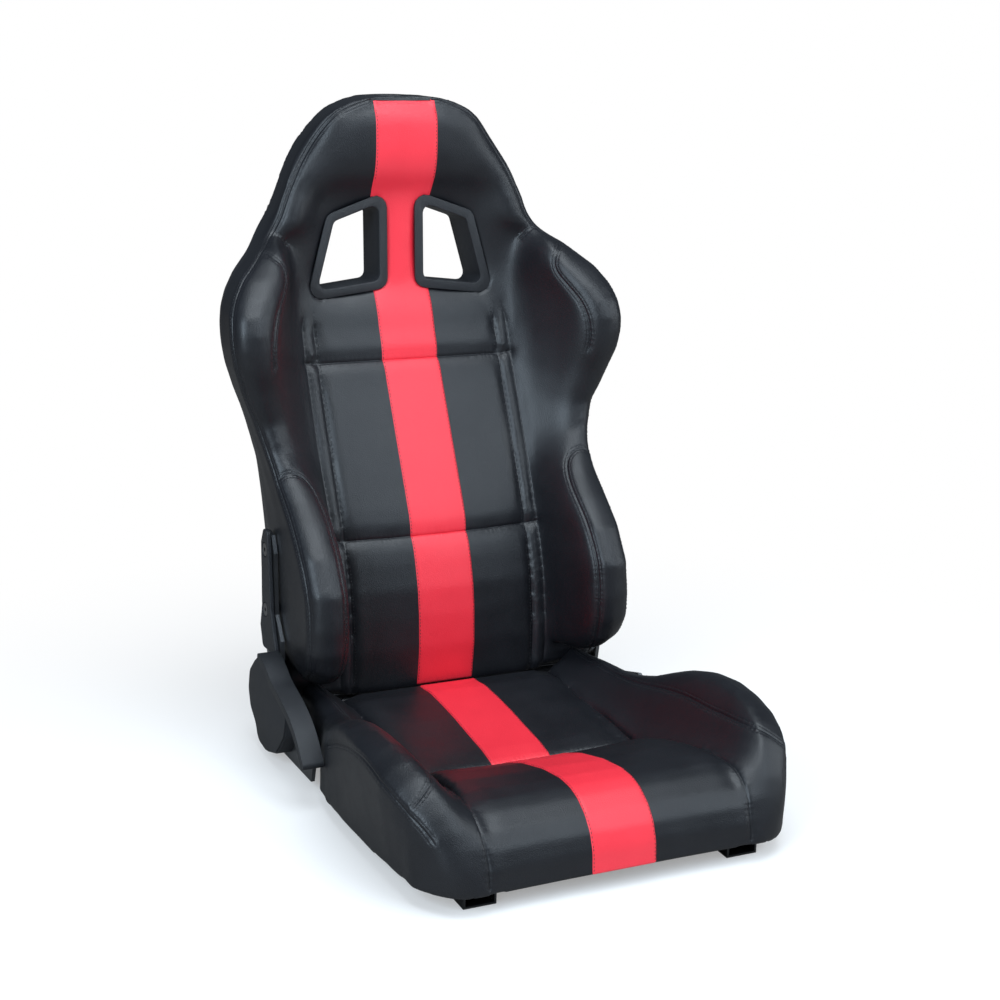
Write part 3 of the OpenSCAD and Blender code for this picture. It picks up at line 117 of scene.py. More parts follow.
def place(piece, co):
    """Moves the vertices to these positions."""
    piece.data.vertices.foreach_set("co", np.asarray(co, dtype=np.float64).ravel())
    piece.data.update()


def step_up(t, a, b):
    """0 up to a, 1 from b on, with a smooth rise between them."""
    u = np.clip((np.asarray(t, float) - a) / (b - a), 0, 1)
    return u * u * (3 - 2 * u)


print("a smooth rise:", [round(float(v), 2) for v in step_up((0, 0.25, 0.5, 0.75, 1), 0, 1)])

# %% [markdown]
# ## Even, smooth bodies
# An engineering mesh has long, thin triangles, which smooth badly. A copy of it is merged, given
# an even mesh by a voxel remesh, and faired. Plain smoothing would shrink it, so each round of
# fairing pulls every point towards its neighbours and then pushes it back.

# %% Copy, remesh and fair
def copy_of(name, *nodes):
    """A new object with the merged meshes of these CAD nodes."""
    made = []
    for n in nodes:
        piece = bpy.data.objects.new(name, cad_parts[n].data.copy())
        scene.collection.objects.link(piece)
        piece.data.materials.clear()
        made.append(piece)
    alone(made[0])
    for piece in made:
        piece.select_set(True)
    if len(made) > 1:
        bpy.ops.object.join()
    piece = alone(made[0])
    bpy.ops.object.mode_set(mode="EDIT")
    bpy.ops.mesh.select_all(action="SELECT")
    bpy.ops.mesh.remove_doubles(threshold=0.00002)
    bpy.ops.object.mode_set(mode="OBJECT")
    piece.name = piece.data.name = name
    return piece


def fair(piece, rounds, strength=0.6, weight=None, push=1.03):
    """Smooths without shrinking: each pull towards the neighbours is followed by a push back."""
    edges = np.empty(len(piece.data.edges) * 2, dtype=np.int64)
    piece.data.edges.foreach_get("vertices", edges)
    one, other = edges.reshape(-1, 2).T
    co = points(piece)
    neighbours = np.bincount(edges, minlength=len(co))[:, None].clip(1)
    w = 1.0 if weight is None else weight[:, None]
    for i in range(rounds * 2):
        total = np.zeros_like(co)
        for k in range(3):
            total[:, k] = (np.bincount(one, co[other, k], len(co))
                           + np.bincount(other, co[one, k], len(co)))
        co += (total / neighbours - co) * w * (strength if i % 2 == 0 else -strength * push)
    place(piece, co)
    return piece


def relax(piece, weight, rounds):
    """Plain smoothing, strongest where the weight is 1."""
    return fair(piece, rounds, 0.5, weight, push=0)


def remesh(piece, voxel):
    m = piece.modifiers.new("even_mesh", "REMESH")
    m.mode, m.voxel_size = "VOXEL", voxel
    return apply_modifiers(piece)


def tree_of(piece):
    """A search tree of the surface, for its nearest place or where a ray meets it."""
    piece.data.calc_loop_triangles()
    return BVHTree.FromPolygons([v.co for v in piece.data.vertices],
                                [tuple(t.vertices) for t in piece.data.loop_triangles])


print("engineering faces", sum(len(node.data.polygons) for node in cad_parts.values()))

# %% [markdown]
# ## The shape under the cover
# The foam of the backrest is four blocks and two rolls that meet edge to edge, the foam of the
# base is four blocks, and one sewn cover runs over each. A cloth simulation could drape a cover,
# but stretched leather takes its shape from the foam. So the foam is swollen by 0.6 mm, which
# closes the joins, remeshed into one body and faired until no facet is left.

# %% One body from the foam blocks
def joined_body(name, nodes, voxel=0.004, rounds=26):
    body = copy_of(name, *nodes)
    swell = body.modifiers.new("swell", "DISPLACE")
    swell.strength, swell.mid_level = 0.0006, 0
    apply_modifiers(body)
    remesh(body, voxel)
    return fair(body, rounds)


back_nodes = ["headrest_pad", "back_bolster_left", "back_bolster_right", "back_insert",
              "foot_roll_left", "foot_roll_right"]
base_nodes = ["thigh_roll", "base_bolster_left", "base_bolster_right", "seat_cushion"]
back_cover = joined_body("back_cover", back_nodes)
base_cover = joined_body("base_cover", base_nodes)

# %% [markdown]
# ## Where the cover is sewn
# On the real seat the cover is sewn from panels, and its seams follow the edges of the foam. A
# seam could be drawn with the curve tools. Here it is a short list of places in millimetres, for
# the half with positive x, and its mirror image. A smooth curve runs through the places and is
# later laid onto the cover, so that they need to be right only to a few millimetres.

# %% A curve through a few places
seam_step = 0.0015


def curve_through(places, step=seam_step):
    p = np.array(places, float) / 1000
    p = np.vstack([2 * p[0] - p[1], p, 2 * p[-1] - p[-2]])
    runs = []
    for a, b, c, d in zip(p, p[1:], p[2:], p[3:]):
        t = np.linspace(0, 1, max(2, int(np.linalg.norm(c - b) / step)), endpoint=False)[:, None]
        runs.append(0.5 * (2 * b + (c - a) * t + (2 * a - 5 * b + 4 * c - d) * t ** 2
                           + (3 * b - a - 3 * c + d) * t ** 3))
    return np.vstack(runs + [p[-2:-1]])


def mirrored(places):
    return [(-x, y, z) for x, y, z in places]


def both(places):
    return [curve_through(places), curve_through(mirrored(places))]


print("a point every", seam_step * 1000, "mm")

# %% Seams of the back
rim_places = [(22, 409, 830), (56, 404, 828), (76, 404, 822), (96, 406, 813), (110, 408, 802),
              (123, 410, 789), (135, 410, 775), (146, 408, 758), (155, 404, 740), (166, 401, 714),
              (179, 397, 685), (197, 392, 656), (205, 377, 645), (229, 349, 628), (258, 322, 600),
              (274, 302, 570), (277, 292, 535), (272, 290, 499), (248, 304, 440), (233, 292, 388),
              (227, 268, 352), (226, 226, 318), (227, 184, 279), (227, 155, 234), (227, 147, 190),
              (226, 148, 160), (223, 160, 130), (218, 188, 109)]
insert_places = [(150, 244, 62), (150, 243, 100), (150, 245, 140), (150, 252, 180), (150, 262, 220),
                 (150, 277, 260), (150, 294, 300), (150, 313, 340), (150, 331, 380), (150, 350, 420),
                 (150, 369, 460), (150, 386, 500), (149, 400, 532), (144, 409, 553)]
welt_places = [(132, y, z) for x, y, z in insert_places[:-2]] + [(132, 401, 530), (134, 409, 550)]
low_pad_places = [(227, 270, 356), (212, 277, 361), (197, 273, 358), (185, 262, 347), (177, 239, 331),
                  (174, 212, 313), (173, 187, 295), (173, 165, 270), (173, 148, 243), (173, 138, 205),
                  (174, 138, 165), (178, 150, 128), (186, 176, 106)]
wing_places = [(214, 367, 637), (204, 353, 620), (200, 338, 603), (208, 317, 583), (217, 297, 563),
               (222, 285, 540), (223, 281, 515), (219, 284, 492)]
shoulder_places = [(163, 399, 637), (176, 397, 647), (191, 395, 659)]
across = (-149, -120, -80, -40, 0, 40, 80, 120, 149)
lower_channel = [(x, 268 + 11 * (x / 149) ** 2, 266) for x in across]
upper_channel = [(x, 378 + 2 * (x / 149) ** 2, 485) for x in across]
rim = curve_through(mirrored(rim_places[::-1]) + [(0, 410, 831)] + rim_places)
insert_edges, welts = both(insert_places), both(welt_places)
channels = [curve_through(lower_channel), curve_through(upper_channel)]
low_pads, wings, shoulders = both(low_pad_places), both(wing_places), both(shoulder_places)
back_seams = [rim] + insert_edges + welts + channels + low_pads + wings + shoulders
print("seams of the back", round(sum(len(c) for c in back_seams) * seam_step, 2), "m")

# %% Seams of the base
pad_top_places = [(190, 228, 88), (190, 190, 90), (191, 150, 92), (192, 110, 96), (193, 70, 101),
                  (194, 20, 112), (190, -20, 124), (185, -62, 134), (183, -112, 139),
                  (187, -145, 141), (195, -172, 139), (207, -200, 134), (223, -216, 124),
                  (240, -222, 112)]
side_places = [(237, 44, 84), (244, 26, 92), (250, 5, 103), (252, -22, 115), (253, -50, 124),
               (256, -85, 134), (258, -125, 138), (257, -155, 134), (252, -188, 125),
               (243, -214, 113), (233, -238, 98), (221, -254, 80)]
roll_side_places = [(147, -12, 55), (150, -60, 66), (155, -100, 80), (160, -145, 93),
                    (165, -186, 101), (168, -215, 100), (169, -235, 95), (168, -253, 80),
                    (166, -265, 58), (166, -272, 30)]
roll_rear = [(-147, -12, 55), (-100, -6, 48), (-50, -3, 45), (0, -1, 44), (50, -3, 45),
             (100, -6, 48), (147, -12, 55)]
cushion_places = [(147, -12, 55), (147, 40, 60), (147, 100, 66), (149, 160, 68), (150, 205, 66),
                  (150, 236, 64)]
pad_tops, sides = both(pad_top_places), both(side_places)
roll_sides, cushion_edges = both(roll_side_places), both(cushion_places)
roll_seam = curve_through(roll_rear)
base_seams = pad_tops + sides + roll_sides + [roll_seam] + cushion_edges
print("seams of the base", round(sum(len(c) for c in base_seams) * seam_step, 2), "m")

# %% [markdown]
# ## Near a seam
# What a seam does to leather happens within a centimetre or two of it, so the next steps need to
# know which points are near a seam, how far from it, and where along it. Each point could be
# compared with the whole curve, but a search tree finds the nearest place at once. A curve is laid
# onto the cover by moving its points to the nearest surface and smoothing them, in turn.

# %% Distance from a seam
def along(curve):
    return np.concatenate([[0], np.cumsum(np.linalg.norm(np.diff(curve, axis=0), axis=1))])


def tangents(curve):
    t = np.gradient(curve, axis=0)
    return t / np.linalg.norm(t, axis=1)[:, None].clip(1e-9)


def near_seam(co, curve, reach):
    """Points near the curve: their indices, nearest places on it and distances from it."""
    low, high = curve.min(0) - reach, curve.max(0) + reach
    close = np.nonzero(((co > low) & (co < high)).all(1))[0]
    tree = KDTree(len(curve))
    for i, p in enumerate(curve):
        tree.insert(p, i)
    tree.balance()
    found = [(i, *tree.find(co[i])[1:]) for i in close]
    found = [f for f in found if f[2] < reach]
    if not found:
        return np.zeros(0, int), np.zeros(0, int), np.zeros(0)
    i, k = (np.array([f[n] for f in found]) for n in (0, 1))
    t = tangents(curve)[k]
    v = co[i] - curve[k]
    inside = (k > 0) & (k < len(curve) - 1)
    d = np.linalg.norm(v - np.where(inside[:, None], (v * t).sum(1)[:, None] * t, 0), axis=1)
    return i, k, d


def weight_near(piece, curves, reach):
    """1 on the curves, fading to 0 at the reach."""
    co = points(piece)
    w = np.zeros(len(co))
    for c in curves:
        i, _, d = near_seam(co, c, reach)
        w[i] = np.maximum(w[i], 1 - step_up(d, reach * 0.3, reach))
    return w


def lay(curve, tree, rounds=2, passes=24, normal_passes=6):
    """Lays a curve onto a surface; gives its points and the surface's normals there."""
    c = curve.copy()
    for _ in range(rounds):
        hits = [tree.find_nearest(Vector(p)) for p in c]
        c = np.array([h[0] for h in hits])
        for _ in range(passes):
            c[1:-1] = (c[:-2] + 2 * c[1:-1] + c[2:]) / 4
    hits = [tree.find_nearest(Vector(p)) for p in c]
    n = np.array([h[1] for h in hits])
    for _ in range(normal_passes):
        n[1:-1] = n[:-2] + 2 * n[1:-1] + n[2:]
        n /= np.linalg.norm(n, axis=1)[:, None]
    return c, n


print("points within 20 mm of the rim", len(near_seam(points(back_cover), rim, 0.020)[0]))

# %% [markdown]
# ## Foam that turns gently
# Real foam turns more gently than the blocks do: above the belt slots, at the channels across the
# insert, at the neck and at the rim. Smooth brushes could do that in sculpt mode. Here each place
# gets a weight that fades out, and the cover is relaxed under that weight alone, so that the rest
# keeps its shape. Before that, the dip in the middle of the headrest's top is levelled and the
# rolls are filled. After it, the cover is put back behind the belt-slot frames.

# %% Behind the belt-slot frames
slot_frames = ("slot_frame_left", "slot_frame_right")


def front_of(piece, limit=0.35):
    """1 where the surface faces forwards, or nearly so."""
    return (normals(piece)[:, 1] < limit).astype(float)


def hide_behind(piece, node, gap=0.0003, wall=0.004, reach=0.03):
    """Keeps the cover behind the flange of a belt-slot frame."""
    flange = tree_of(copy_of("flange_probe", node))
    bpy.data.objects.remove(bpy.data.objects["flange_probe"])
    low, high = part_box(node)
    co = points(piece)
    inside = ((co[:, 0] > low[0]) & (co[:, 0] < high[0]) & (co[:, 2] > low[2]) & (co[:, 2] < high[2])
              & (co[:, 1] < low[1] + reach))
    for i in np.nonzero(inside)[0]:
        hit = flange.ray_cast(Vector((co[i][0], 0, co[i][2])), Vector((0, 1, 0)))
        if hit[0] is not None and hit[1].y < -0.9:
            co[i][1] = max(co[i][1], hit[0].y + wall + gap)
    place(piece, co)


print("points that face forwards", int(front_of(back_cover).sum()))

# %% Crown, rolls and rim
recliner_axis = (0.270, 0.092)  # y and z of the line that the back turns round


def level_crown(piece, half=0.018, beside=0.032, above=0.805, deepest=0.012):
    """Raises the middle of the headrest's top edge to the height of the places beside it."""
    over_the_seat = 0.95
    tree = tree_of(piece)
    co, no = points(piece), normals(piece)
    for i in np.nonzero((np.abs(co[:, 0]) < beside) & (co[:, 2] > above) & (no[:, 2] > 0.1))[0]:
        hit = tree.ray_cast(Vector((beside, co[i][1], over_the_seat)), Vector((0, 0, -1)))
        if hit[0] is not None and 0 < hit[0].z - co[i][2] < deepest:
            co[i][2] += (hit[0].z - co[i][2]) * (1 - float(step_up(abs(co[i][0]), half, beside)))
    place(piece, co)
    x, _, z = co.T
    relax(piece, (1 - step_up(np.abs(x), 0.03, 0.045)) * step_up(z, 0.815, 0.825), 10)


def fuller_rolls(piece, axis=recliner_axis, radius=0.0345, core=0.024):
    """Fills the lower front of the rolls around the recliner axis, where they turn in place."""
    co = points(piece)
    out = np.abs(co[:, 0])
    dy, dz = co[:, 1] - axis[0], co[:, 2] - axis[1]
    r = np.hypot(dy, dz)
    side = step_up(out, 0.146, 0.150) * (1 - step_up(out, 0.196, 0.204))
    w = side * step_up(-dz, 0.009, 0.018) * (r > core) * (r < radius) * (dy < 0.02)
    grow = 1 + (radius / r.clip(0.001) - 1) * w
    co[:, 1], co[:, 2] = axis[0] + dy * grow, axis[1] + dz * grow
    place(piece, co)


def round_rim(piece, reach=0.038, drawn=0.004, more_on_top=0.005):
    """Draws the front back towards the rim, further on the headrest."""
    co, no = points(piece), normals(piece)
    i, _, d = near_seam(co, rim, reach)
    rounding = np.zeros(len(co))
    rounding[i] = (1 - d / reach) ** 2 * step_up(-no[i, 1], -0.2, 0.3)
    co[:, 1] += rounding * (drawn + more_on_top * step_up(co[:, 2], 0.62, 0.74))
    place(piece, co)
    relax(piece, weight_near(piece, [rim], 0.02), 3)


level_crown(back_cover)
fuller_rolls(back_cover)
print("crown at", round(float(points(back_cover)[:, 2].max()), 4))

# %% Relax the front of the back
front = front_of(back_cover)
x, _, z = points(back_cover).T
above_the_slots = step_up(z, 0.545, 0.575) * (1 - step_up(z, 0.765, 0.81))
relax(back_cover, front * (1 - step_up(np.abs(x), 0.135, 0.165)) * above_the_slots, 70)

band_heights, band_half = (0.266, 0.485, 0.557), 0.017
x, _, z = points(back_cover).T
insert_front = front * (1 - step_up(np.abs(x), 0.122, 0.140))
bands = sum(np.exp(-((z - height) / band_half) ** 2) for height in band_heights).clip(0, 1)
relax(back_cover, insert_front * bands, 45)

neck = both([(150, 405, 560), (157, 404, 600), (166, 401, 640), (186, 394, 656), (196, 392, 657)])
relax(back_cover, weight_near(back_cover, neck, 0.042) * front, 60)
print("relaxed", round(float(insert_front.sum())), "points of the insert")

# %% Relax the inner sides and round the rim
for piece, inner in ((back_cover, 0.158), (base_cover, 0.156)):
    co, no = points(piece), normals(piece)
    inward = step_up(-np.sign(co[:, 0]) * no[:, 0], 0.25, 0.6)
    relax(piece, inward * step_up(np.abs(co[:, 0]), inner, inner + 0.014), 34)
round_rim(back_cover)
for n in slot_frames:
    hide_behind(back_cover, n)
print("widths", [round(float(np.ptp(points(p)[:, 0])), 4) for p in (back_cover, base_cover)])

# %% [markdown]
# ## Sewing
# A seam draws the cover in: a sharp line, a soft valley beside it, a faint furrow under the top
# stitches, and small puckers across it that fade with distance. A bump map could fake this, but
# the highlights on dark leather show real depth. So the mesh is refined along the seams alone, to
# a millimetre, faired again there, and moved inwards.

# %% Refine near the seams
def laid(curves, tree):
    """The curves, each laid onto the surface."""
    return [lay(c, tree)[0] for c in curves]


def refine(piece, curves, reach, rounds=3):
    """Halves the edges near the curves and fairs what is new."""
    co = points(piece)
    near = np.zeros(len(co), bool)
    for c in curves:
        near[near_seam(co, c, reach)[0]] = True
    bm = bmesh.new()
    bm.from_mesh(piece.data)
    edges = [e for e in bm.edges if near[e.verts[0].index] and near[e.verts[1].index]]
    bmesh.ops.subdivide_edges(bm, edges=edges, cuts=1, use_grid_fill=True)
    bm.to_mesh(piece.data)
    bm.free()
    return fair(piece, rounds, weight=weight_near(piece, curves, reach * 1.3))


back_tree, base_tree = tree_of(back_cover), tree_of(base_cover)
rim, roll_seam = lay(rim, back_tree)[0], lay(roll_seam, base_tree)[0]
insert_edges, welts, channels = (laid(c, back_tree) for c in (insert_edges, welts, channels))
low_pads, wings, shoulders = (laid(c, back_tree) for c in (low_pads, wings, shoulders))
pad_tops, sides = laid(pad_tops, base_tree), laid(sides, base_tree)
roll_sides, cushion_edges = laid(roll_sides, base_tree), laid(cushion_edges, base_tree)
back_seams = [rim] + insert_edges + welts + channels + low_pads + wings + shoulders
base_seams = pad_tops + sides + roll_sides + [roll_seam] + cushion_edges
relax(back_cover, weight_near(back_cover, insert_edges, 0.016) * front_of(back_cover, 0.5), 16)
relax(base_cover, weight_near(base_cover, cushion_edges, 0.014), 8)
for reach in (0.011, 0.007):
    refine(back_cover, back_seams, reach)
    refine(base_cover, base_seams, reach)
for n in slot_frames:
    hide_behind(back_cover, n)
print("refined", len(back_cover.data.vertices), len(base_cover.data.vertices))


# %% Draw the seams in
def sew(piece, curves, depth, crisp=0.0014, valley=0.35, spread=0.006, row=0.0045, pucker=0.00022,
        fade=0.012, seed=0.0):
    """Moves the cover inwards along the curves; fade is the length over which the ends run out."""
    reach, furrow, furrow_half = 0.022, 0.0004, 0.0009
    short_wave, long_wave, drift, pucker_reach, flat_half = 0.0013, 0.0061, 2.1, 0.006, 0.0015
    co, no = points(piece), normals(piece)
    move = np.zeros(len(co))
    for n, c in enumerate(curves):
        i, k, d = near_seam(co, c, reach)
        s = along(c)
        ends = step_up(np.minimum(s[k], s[-1] - s[k]), 0, fade) if fade else 1.0
        draw = depth * (np.exp(-d / crisp) + valley * np.exp(-(d / spread) ** 2))
        if row:
            draw += furrow * np.exp(-((d - row) / furrow_half) ** 2)
        wave = np.sin(s[k] / short_wave + drift * np.sin(s[k] / long_wave + seed + n))
        draw += pucker * wave * np.exp(-d / pucker_reach) * (1 - np.exp(-d / flat_half))
        move[i] = np.maximum(move[i], draw * ends)
    place(piece, co - no * move[:, None])


sew(back_cover, [rim], 0.0016, fade=0)
sew(back_cover, insert_edges, 0.0030, crisp=0.0018, valley=0.4, row=0, pucker=0.0, fade=0.03)
sew(back_cover, welts, 0.0013, row=0, pucker=0.00006, fade=0.03, seed=1.0)
sew(back_cover, channels, 0.0030, crisp=0.0016, valley=0.45, spread=0.008, row=0, fade=0)
sew(back_cover, low_pads + wings, 0.0018, seed=2.0)
sew(back_cover, shoulders, 0.0018, row=0.0035, fade=0.006, seed=3.0)
sew(base_cover, pad_tops + sides, 0.0016, seed=4.0)
sew(base_cover, roll_sides + [roll_seam], 0.0022, row=0, seed=5.0, fade=0)
sew(base_cover, cushion_edges, 0.0035, crisp=0.0020, row=0, fade=0)
print("sewn", len(back_seams), "seams on the back and", len(base_seams), "on the base")

# %% [markdown]
# ## Room to move
# The base slides along the floor rails, and the rolls at the foot of the back turn against it. On
# the real seat the foam is hollowed there. A boolean cut would leave hard edges in the cover, so
# the few points that would be in the way are moved to the nearest place outside.

# %% Clear of the rails and the rolls
def clear_of_rail(piece, node, travel=0.080, gap=0.0025):
    """Moves what would meet a rail on its way along y to the nearest place outside."""
    low, high = (np.array(p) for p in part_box(node))
    low, high = low - gap - (0, travel, 0), high + gap + (0, travel, 0)
    co = points(piece)
    for i in np.nonzero(((co > low) & (co < high)).all(1))[0]:
        ways = [(high[2] - co[i][2], 2, high[2]), (co[i][1] - low[1], 1, low[1]),
                (co[i][0] - low[0], 0, low[0]), (high[0] - co[i][0], 0, high[0])]
        _, k, value = min(ways)
        co[i][k] = value
    place(piece, co)


def clear_of_rolls(piece, axis=recliner_axis, radius=0.0358, inner=0.138, outer=0.214):
    """Hollows the base where the rolls of the back turn around the recliner axis."""
    co = points(piece)
    out = np.abs(co[:, 0])
    dy, dz = co[:, 1] - axis[0], co[:, 2] - axis[1]
    r = np.hypot(dy, dz).clip(0.001)
    near = (out > inner) & (out < outer) & (r < radius) & (dy < 0)
    grow = np.where(near, radius / r, 1)
    co[:, 1], co[:, 2] = axis[0] + dy * grow, axis[1] + dz * grow
    place(piece, co)


clear_of_rolls(base_cover)
for n in ("lower_rail_left", "lower_rail_right"):
    clear_of_rail(base_cover, n)
for piece in (back_cover, base_cover):
    alone(piece)
    bpy.ops.object.shade_smooth()
print("covers", len(back_cover.data.polygons), len(base_cover.data.polygons))

# %% [markdown]
# ## Grain
# The cover is smooth synthetic leather: a fine pebble grain that only breaks up the highlights,
# and a slow unevenness from the foam. Moulded plastic and paint have the same two, in other
# amounts. An image could carry the grain, but a pattern that is worked out has no seams and no
# end. So both come from one node group, and each material sets its own values.

# %% The grain group
def new_group(name, inputs, outputs):
    g = bpy.data.node_groups.new(name, "ShaderNodeTree")
    for n, v in inputs:
        s = g.interface.new_socket(n, in_out="INPUT", socket_type="NodeSocketFloat")
        s.default_value = v
    for n, kind in outputs:
        g.interface.new_socket(n, in_out="OUTPUT", socket_type=kind)
    return g, g.nodes.new("NodeGroupInput"), g.nodes.new("NodeGroupOutput")


def grain_group():
    g, gin, gout = new_group(
        "pebble_grain",
        [("Pebble Scale", 900.0), ("Wave Scale", 22.0), ("Pebble Depth", 0.25), ("Wave Depth", 0.6)],
        [("Height", "NodeSocketFloat"), ("Shade", "NodeSocketFloat")])
    at = g.nodes.new("ShaderNodeTexCoord")
    cells = g.nodes.new("ShaderNodeTexVoronoi")
    cells.feature = "SMOOTH_F1"
    waves = g.nodes.new("ShaderNodeTexNoise")
    waves.inputs["Detail"].default_value = 2
    g.links.new(at.outputs["Object"], cells.inputs["Vector"])
    g.links.new(at.outputs["Object"], waves.inputs["Vector"])
    g.links.new(gin.outputs["Pebble Scale"], cells.inputs["Scale"])
    g.links.new(gin.outputs["Wave Scale"], waves.inputs["Scale"])
    pebbles = g.nodes.new("ShaderNodeMath")
    pebbles.operation = "MULTIPLY"
    both_heights = g.nodes.new("ShaderNodeMath")
    both_heights.operation = "MULTIPLY_ADD"
    g.links.new(cells.outputs["Distance"], pebbles.inputs[0])
    g.links.new(gin.outputs["Pebble Depth"], pebbles.inputs[1])
    g.links.new(waves.outputs["Fac"], both_heights.inputs[0])
    g.links.new(gin.outputs["Wave Depth"], both_heights.inputs[1])
    g.links.new(pebbles.outputs[0], both_heights.inputs[2])
    g.links.new(both_heights.outputs[0], gout.inputs["Height"])
    g.links.new(waves.outputs["Fac"], gout.inputs["Shade"])
    return g


pebble = grain_group()
print("group", pebble.name)

# %% [markdown]
# ## Leather, plastic and metal
# Every surface of the seat is one solid stuff: leather, thread, moulded plastic, paint or metal.
# So one function builds them all. The grain's height goes to a bump, and its slow shade swings
# the colour and the roughness a little, because no real surface is quite even. The shader stays
# in each material.

# %% Materials
def surface(name, colour, rough, metal=0.0, grain=None, bump=0.0008, shade=0.25):
    rough_swing = 0.08
    m = bpy.data.materials.new(name)
    m.use_nodes = True
    t = m.node_tree
    bsdf = t.nodes["Principled BSDF"]
    bsdf.inputs["Roughness"].default_value = rough
    bsdf.inputs["Metallic"].default_value = metal
    g = t.nodes.new("ShaderNodeGroup")
    g.node_tree = pebble
    for k, v in (grain or {}).items():
        g.inputs[k].default_value = v
    height = t.nodes.new("ShaderNodeBump")
    height.inputs["Distance"].default_value = bump
    t.links.new(g.outputs["Height"], height.inputs["Height"])
    t.links.new(height.outputs["Normal"], bsdf.inputs["Normal"])
    ramp = t.nodes.new("ShaderNodeMix")
    ramp.data_type = "RGBA"
    ramp.inputs["A"].default_value = (*[c * (1 - shade) for c in colour], 1)
    ramp.inputs["B"].default_value = (*[min(1, c * (1 + shade)) for c in colour], 1)
    t.links.new(g.outputs["Shade"], ramp.inputs["Factor"])
    t.links.new(ramp.outputs["Result"], bsdf.inputs["Base Color"])
    swing = t.nodes.new("ShaderNodeMapRange")
    swing.inputs["To Min"].default_value = rough - rough_swing
    swing.inputs["To Max"].default_value = rough + rough_swing
    t.links.new(g.outputs["Shade"], swing.inputs["Value"])
    t.links.new(swing.outputs["Result"], bsdf.inputs["Roughness"])
    return m


black_leather = surface("black_leather", (0.0060, 0.0065, 0.0090), 0.43)
dark_zinc = surface("dark_zinc", (0.085, 0.086, 0.090), 0.42, metal=1.0, bump=0.0002)
plate_steel = surface("plate_steel", (0.20, 0.205, 0.215), 0.40, metal=1.0, bump=0.0002)
red_leather = surface("red_leather", (0.70, 0.020, 0.038), 0.46, shade=0.06)
seam_thread = surface("black_thread", (0.012, 0.012, 0.014), 0.6)
dark_plastic = surface("dark_plastic", (0.012, 0.013, 0.016), 0.52,
                       grain={"Pebble Scale": 1500.0, "Pebble Depth": 0.5, "Wave Depth": 0.1})
panel_plastic = surface("rear_shell", (0.012, 0.012, 0.013), 0.5,
                        grain={"Pebble Scale": 700.0, "Pebble Depth": 0.8, "Wave Depth": 0.2})
frame_paint = surface("satin_black_paint", (0.018, 0.018, 0.020), 0.35,
                      grain={"Pebble Scale": 400.0, "Pebble Depth": 0.2, "Wave Depth": 0.2}, bump=0.0004)
rail_steel = surface("zinc_plate", (0.46, 0.47, 0.49), 0.34, metal=1.0, bump=0.0002)
bright_steel = surface("pressed_steel", (0.58, 0.58, 0.60), 0.28, metal=1.0, bump=0.0002)
screw_steel = surface("dark_screws", (0.22, 0.22, 0.23), 0.35, metal=1.0, bump=0.0002)
print("materials", len(bpy.data.materials))

# %% [markdown]
# ## Metal parts
# The rails, the frame and the recliner's plates are pressed, bent and welded steel, and their
# engineering shapes are already right. So they aren't modelled again, and only get their finish.

# %% Finishes on the engineering parts
def finish_with(piece, material):
    piece.data.materials.clear()
    piece.data.materials.append(material)


finish_of = {
    rail_steel: ["upper_rail_left", "upper_rail_right", "rail_latches"],
    dark_zinc: ["lower_rail_left", "lower_rail_right"],
    bright_steel: ["release_cams", "support_wires"],
    plate_steel: ["recliner_plate_left", "recliner_plate_right", "recliner_arm_left",
                  "recliner_arm_right", "lock_pawls"],
    screw_steel: ["base_screws", "arm_screws", "pawl_pins", "bar_pivots", "sync_shaft"],
    frame_paint: ["base_frame", "rear_cross_tube", "seat_pan", "back_frame", "release_bar"],
    dark_plastic: ["glide_shoes"]}
for material, nodes in finish_of.items():
    for n in nodes:
        finish_with(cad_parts[n], material)
print("finished nodes", sum(len(v) for v in finish_of.values()))

# %% [markdown]
# ## The red stripe
# The stripe is a separate strip of leather, sewn on down the middle. Red paint on the cover would
# be quicker, but it would have no edge. So the strip is a thin band cut from the cover's own
# surface, lifted by a hair and given a thickness. Its edges are tucked in, which makes the dark
# line beside them.

# %% How a strip is cut
wider_on_top = 0.085
stripe_half = 0.0415


def trim(bm, at, towards):
    """Cuts bm by a plane and drops what lies beyond it."""
    geometry = bm.verts[:] + bm.edges[:] + bm.faces[:]
    bmesh.ops.bisect_plane(bm, geom=geometry, plane_co=at, plane_no=towards, clear_outer=True)


def flare(z):
    """The strip is a little wider on the headrest."""
    return 1 + wider_on_top * step_up(z, 0.66, 0.72)


def stripe(name, source, keep, planes, half=stripe_half, lift=0.0009, thick=0.0016):
    """A strip of the source's faces that keep(centre, normal) wants, trimmed by the planes."""
    spare, hem, hem_depth = 0.006, 0.0035, 0.0004
    bm = bmesh.new()
    bm.from_mesh(source.data)
    for v in bm.verts:
        v.co.x /= float(flare(v.co.z))
    far = [v for v in bm.verts if abs(v.co.x) > half + spare]
    bmesh.ops.delete(bm, geom=far, context="VERTS")
    bmesh.ops.delete(bm, geom=[f for f in bm.faces if not keep(f.calc_center_median(), f.normal)],
                     context="FACES")
    for at, towards in [((half, 0, 0), (1, 0, 0)), ((-half, 0, 0), (-1, 0, 0))] + planes:
        trim(bm, at, towards)
    mesh = bpy.data.meshes.new(name)
    bm.to_mesh(mesh)
    bm.free()
    piece = bpy.data.objects.new(name, mesh)
    scene.collection.objects.link(piece)
    co, no = points(piece), normals(piece)
    edge = step_up(np.abs(co[:, 0]), half - hem, half)
    co[:, 0] *= flare(co[:, 2])
    place(piece, co + no * (lift * (1 - edge) - hem_depth * edge)[:, None])
    m = piece.modifiers.new("skin", "SOLIDIFY")
    m.thickness, m.offset = thick, -1
    apply_modifiers(piece)
    bpy.ops.object.shade_smooth()
    return piece


